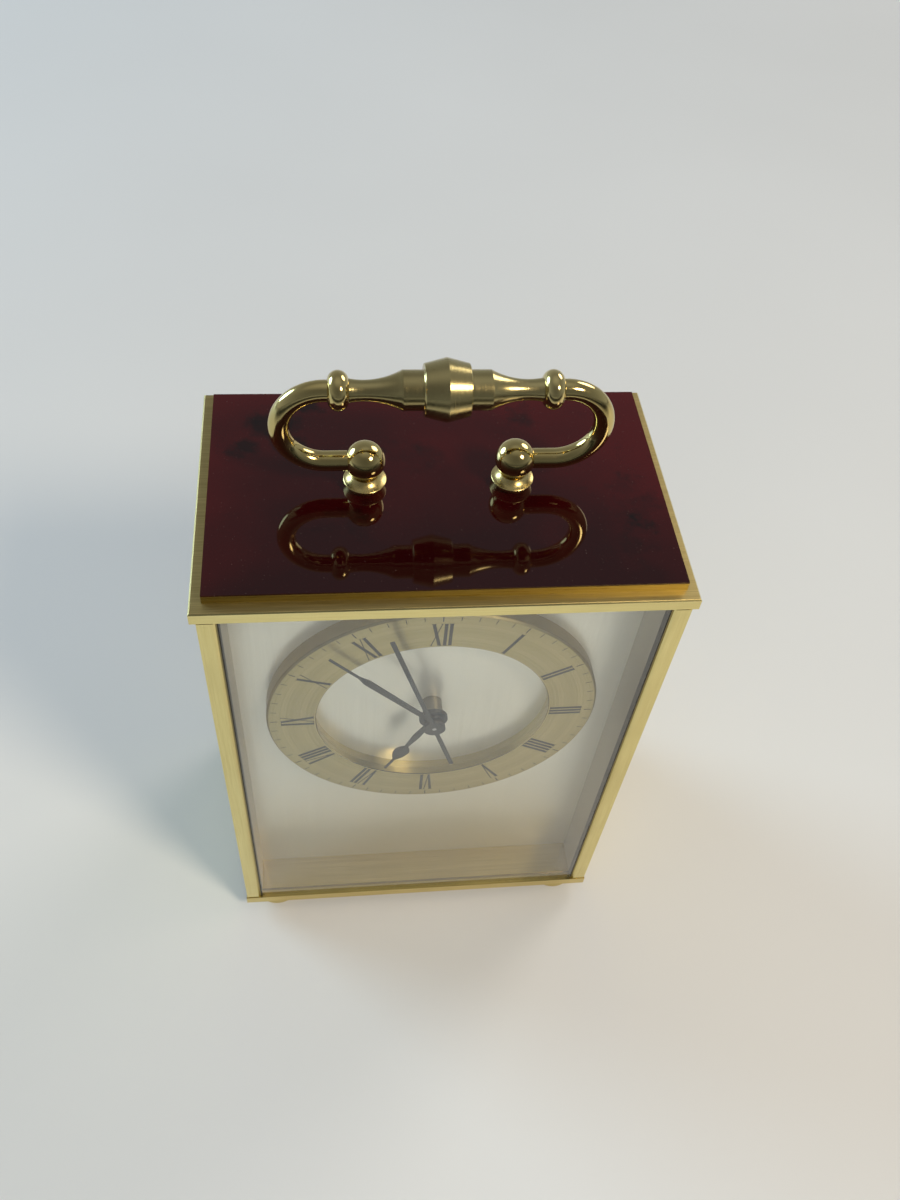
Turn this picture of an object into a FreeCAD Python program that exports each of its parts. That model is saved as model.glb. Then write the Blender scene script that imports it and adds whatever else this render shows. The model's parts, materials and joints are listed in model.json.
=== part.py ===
import FreeCAD, Part
import math
import os
import re

import Sketcher

V = FreeCAD.Vector

# Driving sizes of the clock, in millimetres and degrees: name, value, meaning
sizes = [
    ("plate_width", 105.0, "top plate, left to right"),
    ("plate_depth", 66.0, "top and base plates, front to back"),
    ("plate_thickness", 3.0, "top and base plates"),
    ("plate_overhang", 1.25, "top plate beyond the walls, each side"),
    ("plate_chamfer", 0.35, "bevel round the top plate's upper edge"),
    ("base_overhang", 0.25, "base plate beyond the walls, each side"),
    ("wall_height", 134.6, "side walls between the plates"),
    ("wall_thickness", 3.75, "side walls"),
    ("wall_setback", 0.2, "walls behind the plates' front and back edges"),
    ("wall_chamfer", 0.4, "bevel on the walls' inner front edge"),
    ("shadow_height", 0.45, "dark gap between wall tops and top plate"),
    ("shadow_depth", 1.2, "how far that gap reaches in"),
    ("rail_width", 8.0, "screw rails inside the walls, from the wall inwards"),
    ("rail_height", 8.0, "screw rails, up and down"),
    ("rail_gap", 0.5, "rails behind the dial plate"),
    ("foot_diameter", 14.0, "bun feet at their widest"),
    ("foot_height", 4.0, "bun feet"),
    ("foot_sole", 9.6, "flat under each foot, diameter"),
    ("foot_crown", 12.4, "top of each foot, diameter"),
    ("foot_belly", 2.5, "height of a foot's widest line"),
    ("foot_bulge", 3.4, "radius of a foot's round below that line"),
    ("foot_shoulder", 2.4, "radius of a foot's round above that line"),
    ("foot_inset_x", 9.0, "foot centre from the base plate's end"),
    ("foot_inset_y", 7.0, "foot centre from the base plate's edge"),
    ("stud_diameter", 3.0, "threaded stud on each foot"),
    ("stud_length", 2.0, "foot stud into the base plate"),
    ("inlay_margin_x", 2.6, "bare top plate beside the inlay plate"),
    ("inlay_margin_y", 2.85, "bare top plate before and behind the inlay plate"),
    ("inlay_thickness", 2.0, "inlay plate"),
    ("lacquer_thickness", 0.4, "lacquered sheet on the inlay plate"),
    ("glass_setback", 0.8, "glass behind the plates' front edges"),
    ("glass_thickness", 2.0, "front glass"),
    ("glass_seat", 0.8, "depth of the glass grooves in the plates"),
    ("seal_width", 0.6, "black seal and grey liner inside each wall"),
    ("seat_clearance", 0.05, "play of the glass and the dial plate in their grooves"),
    ("glass_gap", 1.2, "between the seconds hand and the glass"),
    ("dial_thickness", 1.5, "dial plate"),
    ("dial_seat", 0.7, "dial plate's edges in the wall grooves"),
    ("ring_margin", 6.4, "bare dial plate beside the chapter ring"),
    ("ring_headroom", 9.5, "bare dial plate above the chapter ring"),
    ("ring_band", 11.9, "chapter ring's face, from its bore to its edge"),
    ("ring_thickness", 4.2, "chapter ring"),
    ("ring_chamfer", 0.5, "bevel on the chapter ring's outer edge"),
    ("ring_flare", 0.5, "chapter ring's bore widens by this towards the dial plate"),
    ("back_thickness", 1.5, "back panel"),
    ("back_setback", 1.9, "back panel inside the walls' rear edges"),
    ("back_clearance", 0.1, "back panel from its neighbours"),
    ("window_margin", 2.0, "back window beyond the movement, all round"),
    ("window_radius", 4.0, "back window's corners"),
    ("screw_diameter", 3.0, "case screws"),
    ("screw_length", 8.0, "case screws, with the flat head"),
    ("screw_head", 5.5, "case screws' heads, diameter"),
    ("screw_head_height", 1.6, "case screws' heads"),
    ("screw_clearance", 0.1, "round a screw's shank and head"),
    ("slot_width", 0.8, "slots in screw heads"),
    ("slot_depth", 0.7, "slots in screw heads"),
    ("screw_front", 8.0, "front plate screws ahead of the middle"),
    ("screw_rear", 12.0, "rear plate screws behind the middle"),
    ("ball_diameter", 8.7, "handle posts' balls"),
    ("ball_spread", 32.4, "ball to ball"),
    ("fold_clearance", 0.7, "between the folded grip and the lacquer"),
    ("stem_diameter", 4.0, "handle posts' threaded stems"),
    ("stem_clearance", 0.05, "round the stems"),
    ("stem_tail", 0.8, "stems below their nuts"),
    ("nut_flats", 7.0, "post nuts across flats"),
    ("nut_height", 3.2, "post nuts"),
    ("collar_diameter", 9.35, "post collars at the rim"),
    ("collar_foot", 7.2, "post collars where they stand on the lacquer, diameter"),
    ("collar_rim", 0.35, "height of the collars' rims"),
    ("collar_flare", 1.35, "height of the collars' hollow flare above the rim"),
    ("collar_gap", 0.06, "between a collar and its ball"),
    ("collar_top", 5.8, "post collars at the top, diameter"),
    ("collar_sweep", 3.4, "radius of the collars' hollow flare"),
    ("bail_diameter", 4.4, "handle's bent rods"),
    ("pivot_clearance", 0.05, "round the rod ends in the balls"),
    ("pivot_bore", 1.0, "from a ball's centre to the bottom of its bore"),
    ("pivot_play", 0.4, "from the bottom of the bore to the rod's end"),
    ("bar_rise", 19.0, "grip's axis above the balls' centres"),
    ("bail_straight", 0.55, "straight rod between a bead and the bend"),
    ("bead_offset", 21.75, "beads from the middle"),
    ("bead_diameter", 8.2, "handle beads"),
    ("bead_width", 4.3, "handle beads"),
    ("bead_lip", 0.1, "flat side of a bead round its bore"),
    ("spigot_diameter", 3.0, "rod ends inside the grip"),
    ("spigot_length", 6.0, "rod ends inside the grip"),
    ("spigot_clearance", 0.03, "round the rod ends in the grip and beads"),
    ("grip_end", 4.8, "grip beside the beads, diameter"),
    ("grip_step", 8.2, "grip's cylinders beside the knob, diameter"),
    ("grip_shoulder", 10.6, "grip's knob at its ends, diameter"),
    ("grip_knob", 13.0, "grip's knob at the middle, diameter"),
    ("knob_half", 4.65, "half the length of the grip's knob"),
    ("step_length", 4.4, "grip's cylinders beside the knob"),
    ("taper_dip", 0.22, "how far the grip's tapers hollow below their ends"),
    ("bush_diameter", 4.9, "brass bush round the hand pipes"),
    ("bush_drop", 0.4, "bush's end behind the chapter ring's face"),
    ("bush_flange", 1.0, "bush flange inside the movement"),
    ("bush_flange_diameter", 8.0, "bush flange inside the movement"),
    ("hour_pipe", 3.6, "hour wheel's pipe, outside diameter"),
    ("minute_pipe", 2.2, "minute pipe, outside diameter"),
    ("seconds_arbor", 1.0, "seconds arbor, diameter"),
    ("arbor_clearance", 0.05, "round every turning pipe, arbor and post"),
    ("hand_thickness", 0.35, "clock hands"),
    ("boss_depth", 0.55, "hand bosses behind the hands"),
    ("hour_gap", 0.7, "between the bush and the hour hand's boss"),
    ("minute_gap", 0.1, "between the hour hand and the minute hand's boss"),
    ("second_gap", 0.9, "between the minute hand and the seconds hand's boss"),
    ("hour_boss", 7.0, "hour hand's boss, diameter"),
    ("minute_boss", 5.0, "minute hand's boss, diameter"),
    ("second_boss", 5.4, "seconds hand's boss, diameter"),
    ("hour_length", 25.4, "hour hand, from the centre"),
    ("hour_leaf", 1.9, "hour hand's leaf, widest"),
    ("hour_leaf_at", 8.5, "hour hand's widest leaf, from the centre"),
    ("hour_neck", 0.8, "hour hand behind the spade"),
    ("hour_neck_at", 14.0, "hour hand's neck, from the centre"),
    ("spade_width", 4.0, "hour hand's spade"),
    ("spade_at", 16.2, "spade's widest line, from the centre"),
    ("spade_end", 20.6, "spade's point, from the centre"),
    ("spade_heel", 3.2, "radius of the spade's rounded heel"),
    ("spade_flank", 6.4, "radius of the spade's sides"),
    ("hand_tip", 0.55, "width of the hour and minute hands' points"),
    ("minute_short", 3.1, "minute hand's point inside the chapter ring's edge"),
    ("minute_width", 1.8, "minute hand, widest"),
    ("minute_root", 1.25, "minute hand at its boss"),
    ("minute_wide_at", 24.8, "minute hand's widest line, from the centre"),
    ("minute_point_at", 27.3, "start of the minute hand's thin point"),
    ("second_short", 2.7, "seconds hand's point inside the chapter ring's edge"),
    ("second_tail", 18.0, "seconds hand's tail, from the centre"),
    ("second_width", 1.05, "seconds hand"),
    ("rest_hour", 6.0, "full hour shown at rest"),
    ("minute_angle", 318.2, "minute hand at rest, clockwise from twelve"),
    ("second_angle", 342.6, "seconds hand at rest, clockwise from twelve"),
    ("case_room", 1.5, "between the movement's highest piece and its case"),
    ("shelf_gap", 4.2, "between the train and the battery's shelf"),
    ("case_wall", 1.4, "movement case walls"),
    ("case_front_depth", 10.0, "movement front case"),
    ("ear_width", 7.0, "movement ears beyond the case"),
    ("ear_height", 8.0, "movement ears"),
    ("ear_thickness", 2.0, "movement ears"),
    ("ear_drop", 6.0, "ear centres inside the case's top and bottom"),
    ("dial_stud", 2.0, "studs on the dial plate's back, diameter"),
    ("dial_nut_flats", 4.0, "nuts on those studs, across flats"),
    ("dial_nut_height", 1.6, "nuts on those studs"),
    ("post_size", 4.0, "screw posts in the movement case"),
    ("post_screw", 1.8, "movement case screws"),
    ("post_screw_length", 11.0, "movement case screws below the head"),
    ("post_screw_head", 3.4, "movement case screws' heads"),
    ("shelf_thickness", 1.0, "wall between battery and train"),
    ("battery_diameter", 14.2, "battery"),
    ("battery_length", 49.2, "battery without its button"),
    ("button_diameter", 5.4, "battery's button"),
    ("button_length", 1.0, "battery's button"),
    ("battery_room", 0.1, "between the battery and its case"),
    ("contact_thickness", 0.4, "battery contacts"),
    ("contact_size", 9.0, "battery contacts, height and depth"),
    ("leaf_depth", 2.5, "folded contacts, from the case wall to the battery"),
    ("wheel_thickness", 0.8, "gear wheels"),
    ("layer_pitch", 1.7, "from one wheel's face to the next"),
    ("layer_gap", 0.4, "between the bush flange and the hour wheel"),
    ("pinion_margin", 0.2, "pinions beyond their wheels, each side"),
    ("motion_module", 0.3, "motion work's teeth"),
    ("train_module", 0.33, "third pinion's and centre wheel's teeth"),
    ("motion_angle", 90.0, "motion wheel, clockwise from above the centre"),
    ("third_angle", 0.0, "third wheel, clockwise from above the centre"),
    ("rotor_angle", 250.0, "rotor, clockwise from above the centre"),
    ("setting_angle", 140.0, "setting stem, clockwise from above the motion wheel"),
    ("motion_post", 1.5, "post of the motion wheel, diameter"),
    ("train_arbor", 0.9, "third arbor, diameter"),
    ("rotor_arbor", 0.7, "rotor arbor, diameter"),
    ("bearing_wall", 0.5, "wall of the pivots' bearing bosses"),
    ("bearing_depth", 1.4, "pivots inside their bearings"),
    ("bearing_gap", 0.5, "from a bearing boss to the next wheel's face"),
    ("bearing_room", 0.35, "from the rotor's bearing boss to the centre wheel's teeth"),
    ("magnet_diameter", 6.0, "rotor magnet"),
    ("magnet_thickness", 2.5, "rotor magnet"),
    ("magnet_gap", 0.8, "behind the rotor pinion"),
    ("rear_room", 2.2, "behind the rotor magnet"),
    ("stator_thickness", 1.0, "stator plate"),
    ("stator_gap", 0.4, "between rotor magnet and stator"),
    ("stator_land", 2.1, "stator round the rotor's opening"),
    ("coil_gap", 0.3, "between the coil and the case's screw posts"),
    ("coil_low", 2.0, "coil's lower end above the centre"),
    ("coil_length", 18.0, "coil"),
    ("coil_diameter", 6.6, "coil"),
    ("core_width", 3.0, "stator's arms and the coil's core"),
    ("core_clearance", 0.05, "round the core inside the coil"),
    ("stem_arbor", 2.4, "setting stem, diameter"),
    ("knob_diameter", 12.0, "setting knob"),
    ("knob_height", 4.0, "setting knob"),
    ("knob_gap", 0.4, "between the setting knob and the case"),
    ("board_width", 10.0, "circuit board, left to right"),
    ("board_height", 18.0, "circuit board, up and down"),
    ("board_thickness", 1.2, "circuit board"),
    ("board_margin", 6.0, "from the circuit board to the case's right end"),
    ("board_low", 1.0, "circuit board above the centre"),
    ("board_rise", 1.9, "circuit board ahead of the back wall"),
    ("rest_diameter", 3.0, "pins that carry the circuit board"),
    ("rest_inset", 2.5, "those pins inside the board's ends"),
    ("chip_size", 5.0, "drive chip"),
    ("chip_height", 1.4, "drive chip"),
    ("crystal_diameter", 2.1, "quartz crystal's can"),
    ("crystal_length", 6.2, "quartz crystal's can"),
]

# Tooth counts of the train; they set the hands' speeds and aren't sizes
rotor_teeth = 8
seconds_teeth = 60
seconds_pinion_teeth = 8
third_teeth = 60
third_pinion_teeth = 8
centre_teeth = 64
cannon_teeth = 15
motion_teeth = 45
motion_pinion_teeth = 12
hour_teeth = 48
setting_teeth = 15
knob_ridges = 24

# Tooth form, in modules and in shares of the tooth pitch
addendum = 0.8
dedendum = 1.0
root_share = 0.5
tip_share = 0.2

# How far a cutting tool runs past the face it opens
overcut = "1"

doc = FreeCAD.newDocument("table_clock")
sheet = doc.addObject("Spreadsheet::Sheet", "Sizes")
for row, (alias, value, meaning) in enumerate(sizes, start=1):
    sheet.set(f"A{row}", meaning)
    sheet.set(f"B{row}", str(value))
    sheet.setAlias(f"B{row}", alias)
doc.recompute()
aliases = {alias for alias, value, meaning in sizes}


def formula(text):
    return re.sub(r"[a-z]\w*", lambda word: f"Sizes.{word[0]}" if word[0] in aliases else word[0], text)


def number(text):
    return float(sheet.evalExpression(formula(text)))


# Places that several pieces share
front = "(-plate_depth / 2)"
rear = "(plate_depth / 2)"
wall_outer = "(plate_width / 2 - plate_overhang)"
wall_inner = f"({wall_outer} - wall_thickness)"
wall_front = f"({front} + wall_setback)"
wall_rear = f"({rear} - wall_setback)"
base_half = f"({wall_outer} + base_overhang)"
base_low = "foot_height"
floor = "(foot_height + plate_thickness)"
ceiling = f"({floor} + wall_height)"
roof = f"({ceiling} + plate_thickness)"
inlay_top = f"({roof} + inlay_thickness)"
panel_top = f"({inlay_top} + lacquer_thickness)"
glass_front = f"({front} + glass_setback)"
glass_rear = f"({glass_front} + glass_thickness)"
glass_half = f"({wall_inner} - seal_width)"
bush_front = "(ring_thickness - bush_drop)"
hour_front = f"({bush_front} + hour_gap + boss_depth + hand_thickness)"
minute_front = f"({hour_front} + minute_gap + boss_depth + hand_thickness)"
second_front = f"({minute_front} + second_gap + boss_depth + hand_thickness)"
dial_front = f"({glass_rear} + glass_gap + {second_front})"
dial_rear = f"({dial_front} + dial_thickness)"
ring_radius = f"({glass_half} - ring_margin)"
bore_radius = f"({ring_radius} - ring_band)"
dial_z = f"({ceiling} - ring_headroom - {ring_radius})"
back_rear = f"({wall_rear} - back_setback)"
back_front = f"({back_rear} - back_thickness)"
rail_middle = f"({wall_inner} - rail_width / 2)"
ball_x = "(ball_spread / 2)"
ball_rise = "(grip_knob / 2 + fold_clearance)"
stem_hole_radius = "(stem_diameter / 2 + stem_clearance)"
collar_height = f"({ball_rise} - sqrt((ball_diameter / 2) ^ 2 - {stem_hole_radius} ^ 2) - collar_gap)"
ball_z = f"({panel_top} + {ball_rise})"
bar_z = f"({ball_z} + bar_rise)"
bend_radius = "(bar_rise / 2)"
bend_x = "(bead_offset + bead_width / 2 + bail_straight)"
grip_half = "(bead_offset - bead_width / 2)"
taper_length = f"({grip_half} - knob_half - step_length)"
taper_fall = "((grip_step - grip_end) / 2)"
taper_sweep = f"({taper_length} ^ 2 / (2 * (sqrt({taper_fall} + taper_dip) + sqrt(taper_dip)) ^ 2))"

# Depths inside the movement, front to back
case_inside = f"({dial_rear} + case_wall)"
hour_layer = f"({case_inside} + bush_flange + layer_gap)"
motion_layer = f"({hour_layer} + layer_pitch)"
centre_layer = f"({hour_layer} + 2 * layer_pitch)"
third_layer = f"({hour_layer} + 3 * layer_pitch)"
seconds_layer = f"({hour_layer} + 4 * layer_pitch)"
magnet_front = f"({seconds_layer} + wheel_thickness + pinion_margin + magnet_gap)"
magnet_rear = f"({magnet_front} + magnet_thickness)"
stator_front = f"(({magnet_front} + {magnet_rear} - stator_thickness) / 2)"
stator_rear = f"({stator_front} + stator_thickness)"
case_split = f"({dial_rear} + case_front_depth)"
back_inside = f"({magnet_rear} + rear_room)"
case_rear = f"({back_inside} + case_wall)"
rear_bearing = f"({seconds_layer} + wheel_thickness + bearing_gap)"
battery_half = "((battery_length + button_length) / 2)"
battery_bay = "(battery_diameter + 2 * battery_room)"
# Axes of the train, as distances right of and above the dial centre
motion_distance = f"(motion_module * {(cannon_teeth + motion_teeth) / 2})"
third_distance = f"(train_module * {(third_pinion_teeth + centre_teeth) / 2})"
centre_tip = f"(train_module * {centre_teeth / 2 + addendum})"
rotor_boss = "(rotor_arbor / 2 + arbor_clearance + bearing_wall)"
rotor_distance = f"({centre_tip} + bearing_room + {rotor_boss})"
rotor_module = f"({rotor_distance} * {2 / (rotor_teeth + seconds_teeth)})"
seconds_tip = f"({rotor_module} * {seconds_teeth / 2 + addendum})"
setting_distance = f"(motion_module * {(setting_teeth + motion_teeth) / 2})"
third_module = f"({third_distance} * {2 / (seconds_pinion_teeth + third_teeth)})"
third_tip = f"({third_module} * {third_teeth / 2 + addendum})"
motion_x = f"({motion_distance} * sin(motion_angle))"
motion_z = f"({dial_z} + {motion_distance} * cos(motion_angle))"
third_x = f"({third_distance} * sin(third_angle))"
third_z = f"({dial_z} + {third_distance} * cos(third_angle))"
rotor_x = f"({rotor_distance} * sin(rotor_angle))"
rotor_z = f"({dial_z} + {rotor_distance} * cos(rotor_angle))"
setting_x = f"({motion_x} + {setting_distance} * sin(setting_angle))"
setting_z = f"({motion_z} + {setting_distance} * cos(setting_angle))"

# Outline of the movement, from what it holds
stator_radius = "(magnet_diameter / 2 + stator_gap + stator_land)"
coil_need = f"({stator_radius} - {rotor_x} + core_width / 2)"
train_half = f"({coil_need} + coil_diameter / 2 + coil_gap + post_size)"
case_half = f"(max({battery_half} + leaf_depth; {train_half}) + case_wall)"
stator_high = f"({dial_z} + coil_low + coil_length + core_width + core_clearance)"
stator_low = f"({rotor_z} - core_width / 2)"
highest = f"max({stator_high}; {third_z} + {third_tip})"
case_top = f"({highest} + case_room + case_wall)"
shelf_top = f"({dial_z} - max({seconds_tip}; {centre_tip}) - shelf_gap)"
shelf_low = f"({shelf_top} - shelf_thickness)"
case_bottom = f"({shelf_low} - {battery_bay} - case_wall)"
coil_offset = f"({case_half} - case_wall - post_size - coil_gap - coil_diameter / 2)"
battery_z = f"({case_bottom} + case_wall + battery_room + battery_diameter / 2)"
battery_y = f"({case_inside} + battery_room + battery_diameter / 2)"
board_rear = f"({back_inside} - board_rise)"
board_front = f"({board_rear} - board_thickness)"

along = {
    "+x": FreeCAD.Rotation(V(0, 1, 0), 90),
    "-x": FreeCAD.Rotation(V(0, 1, 0), -90),
    "+y": FreeCAD.Rotation(V(1, 0, 0), -90),
    "-y": FreeCAD.Rotation(V(1, 0, 0), 90),
    "+z": FreeCAD.Rotation(),
    "-z": FreeCAD.Rotation(V(1, 0, 0), 180),
}


def seat(piece, place):
    for letter, text in zip("xyz", place):
        piece.setExpression(f"Placement.Base.{letter}", formula(text))
    return piece


def block(name, low, high):
    piece = doc.addObject("Part::Box", name)
    for side, start, end in zip(("Length", "Width", "Height"), low, high):
        piece.setExpression(side, formula(f"({end}) - ({start})"))
    return seat(piece, low)


def cylinder(name, direction, place, diameter, length):
    piece = doc.addObject("Part::Cylinder", name)
    piece.setExpression("Radius", formula(f"({diameter}) / 2"))
    piece.setExpression("Height", formula(length))
    piece.Placement = FreeCAD.Placement(V(), along[direction])
    return seat(piece, place)


def cone(name, direction, place, diameter, end_diameter, length):
    piece = doc.addObject("Part::Cone", name)
    piece.setExpression("Radius1", formula(f"({diameter}) / 2"))
    piece.setExpression("Radius2", formula(f"({end_diameter}) / 2"))
    piece.setExpression("Height", formula(length))
    piece.Placement = FreeCAD.Placement(V(), along[direction])
    return seat(piece, place)


def hexagon(name, direction, place, flats, length):
    piece = doc.addObject("Part::Prism", name)
    piece.Polygon = 6
    piece.setExpression("Circumradius", formula(f"({flats}) / 2 / cos(30)"))
    piece.setExpression("Height", formula(length))
    piece.Placement = FreeCAD.Placement(V(), along[direction])
    return seat(piece, place)


def fused(name, *pieces):
    union = doc.addObject("Part::MultiFuse", name)
    union.Shapes = list(pieces)
    return union


def cut(name, base, *tools):
    result = doc.addObject("Part::Cut", name)
    result.Base = base
    result.Tool = tools[0] if len(tools) == 1 else fused(f"{name}_tools", *tools)
    return result


def group(name, *pieces):
    solids = doc.addObject("Part::Compound", name)
    solids.Links = list(pieces)
    return solids


def pinned(sketch, edge, end, corner):
    # Ties one end of an edge to the sketch's axes by the corner's two expressions
    for kind, axis, text in (("DistanceX", -2, corner[0]), ("DistanceY", -1, corner[1])):
        if text == "0":
            sketch.addConstraint(Sketcher.Constraint("PointOnObject", edge, end, axis))
        else:
            index = sketch.addConstraint(Sketcher.Constraint(kind, -1, 1, edge, end, number(text)))
            sketch.setExpression(f"Constraints[{index}]", formula(text))


def arc_between(start, end, radius, turn):
    # turn is 1 where the arc runs anticlockwise from start to end, and -1 where it runs clockwise
    chord = end - start
    half = chord.Length / 2
    across = V(-chord.y, chord.x, 0).normalize()
    centre = start + chord * 0.5 + across * (turn * math.sqrt(radius ** 2 - half ** 2))
    first, last = (start, end) if turn > 0 else (end, start)
    angles = [math.atan2(point.y - centre.y, point.x - centre.x) for point in (first, last)]
    if angles[1] < angles[0]:
        angles[1] += 2 * math.pi
    return Part.ArcOfCircle(Part.Circle(centre, V(0, 0, 1), radius), angles[0], angles[1])


def draw(sketch, outline):
    # Each corner is (across, up), or (across, up, radius, turn) where an arc leads to it
    points = [V(number(corner[0]), number(corner[1]), 0) for corner in outline]
    edges = []
    for index, corner in enumerate(outline):
        start = points[index - 1]
        if len(corner) == 2:
            edge = sketch.addGeometry(Part.LineSegment(start, points[index]))
            edges.append((edge, 1, 2))
        else:
            arc = arc_between(start, points[index], number(corner[2]), corner[3])
            edge = sketch.addGeometry(arc)
            edges.append((edge, 1, 2) if corner[3] > 0 else (edge, 2, 1))
    for index, corner in enumerate(outline):
        edge, start_end, far_end = edges[index]
        follower = edges[(index + 1) % len(edges)]
        sketch.addConstraint(Sketcher.Constraint("Coincident", edge, far_end, follower[0], follower[1]))
        pinned(sketch, edge, far_end, corner)
        if len(corner) > 2:
            bend = sketch.addConstraint(Sketcher.Constraint("Radius", edge, number(corner[2])))
            sketch.setExpression(f"Constraints[{bend}]", formula(corner[2]))


def draw_circle(sketch, across, up, diameter):
    circle = Part.Circle(V(number(across), number(up), 0), V(0, 0, 1), number(diameter) / 2)
    edge = sketch.addGeometry(circle)
    pinned(sketch, edge, 3, (across, up))
    bend = sketch.addConstraint(Sketcher.Constraint("Diameter", edge, number(diameter)))
    sketch.setExpression(f"Constraints[{bend}]", formula(diameter))


def sketched(name, plane, outline):
    body = doc.addObject("PartDesign::Body", f"{name}_body")
    sketch = body.newObject("Sketcher::SketchObject", f"{name}_outline")
    support = next(item for item in body.Origin.OriginFeatures if item.Role == plane)
    sketch.AttachmentSupport = [(support, "")]
    sketch.MapMode = "FlatFace"
    draw(sketch, outline)
    return body, sketch


def padded(name, plane, outline, thickness, holes=()):
    body, sketch = sketched(name, plane, outline)
    for hole in holes:
        draw_circle(sketch, *hole)
    pad = body.newObject("PartDesign::Pad", f"{name}_pad")
    pad.Profile = sketch
    pad.setExpression("Length", formula(thickness))
    return body


def revolved(name, plane, outline, axis):
    body, sketch = sketched(name, plane, outline)
    turning = body.newObject("PartDesign::Revolution", f"{name}_turning")
    turning.Profile = sketch
    turning.ReferenceAxis = (sketch, [axis])
    turning.Angle = 360
    return body


def corners_of(x, y):
    return [(side, end) for side in (f"-{x}", x) for end in (f"-{y}", y)]


def flat_screw(name, direction, place):
    # Countersunk screw whose head lies flush at place
    head = cone(f"{name}_head", direction, place, "screw_head", "screw_diameter", "screw_head_height")
    shank = cylinder(f"{name}_shank", direction, place, "screw_diameter", "screw_length")
    slot_low = place[2] if direction == "+z" else f"{place[2]} - slot_depth"
    slot = block(f"{name}_slot",
                 (f"{place[0]} - screw_head", f"{place[1]} - slot_width / 2", slot_low),
                 (f"{place[0]} + screw_head", f"{place[1]} + slot_width / 2", f"{slot_low} + slot_depth"))
    return cut(name, fused(f"{name}_blank", head, shank), slot)


def flat_screw_hole(name, direction, place):
    wider = "2 * screw_clearance"
    mouth = cone(f"{name}_mouth", direction, place, f"screw_head + {wider}", f"screw_diameter + {wider}",
                 "screw_head_height")
    bore = cylinder(f"{name}_bore", direction, place, f"screw_diameter + {wider}",
                    "screw_length + screw_clearance")
    return fused(name, mouth, bore)


plate_screw_spots = [
    (f"{side} * {rail_middle}", end)
    for side in ("-1", "1")
    for end in ("-screw_front", "screw_rear")
]
back_screw_spots = [
    (f"{side} * {rail_middle}", height)
    for side in ("-1", "1")
    for height in (f"({floor} + rail_height / 2)", f"({ceiling} - rail_height / 2)")
]
foot_spots = corners_of(f"({base_half} - foot_inset_x)", f"({rear} - foot_inset_y)")


def base_plate():
    plate = block("base_blank", (f"-{base_half}", front, base_low), (base_half, rear, floor))
    tools = [block("base_glass_groove",
                   (f"-{wall_inner}", f"{glass_front} - seat_clearance", f"{floor} - glass_seat"),
                   (wall_inner, f"{glass_rear} + seat_clearance", f"{floor} + {overcut}"))]
    for index, (x, y) in enumerate(foot_spots):
        tools.append(cylinder(f"foot_hole_{index}", "+z", (x, y, base_low),
                              "stud_diameter + 2 * screw_clearance", "stud_length + screw_clearance"))
    for index, (x, y) in enumerate(plate_screw_spots):
        tools.append(flat_screw_hole(f"base_screw_hole_{index}", "+z", (x, y, base_low)))
    return cut("base_plate", plate, *tools)


def feet():
    turned = []
    for index, (x, y) in enumerate(foot_spots):
        foot = revolved(f"foot_{index}", "XZ_Plane", [
            ("0", "0"),
            ("foot_sole / 2", "0"),
            ("foot_diameter / 2", "foot_belly", "foot_bulge", 1),
            ("foot_crown / 2", "foot_height", "foot_shoulder", 1),
            ("stud_diameter / 2", "foot_height"),
            ("stud_diameter / 2", "foot_height + stud_length"),
            ("0", "foot_height + stud_length"),
        ], "V_Axis")
        turned.append(seat(foot, (x, y, "0")))
    return group("feet", *turned)


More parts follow.
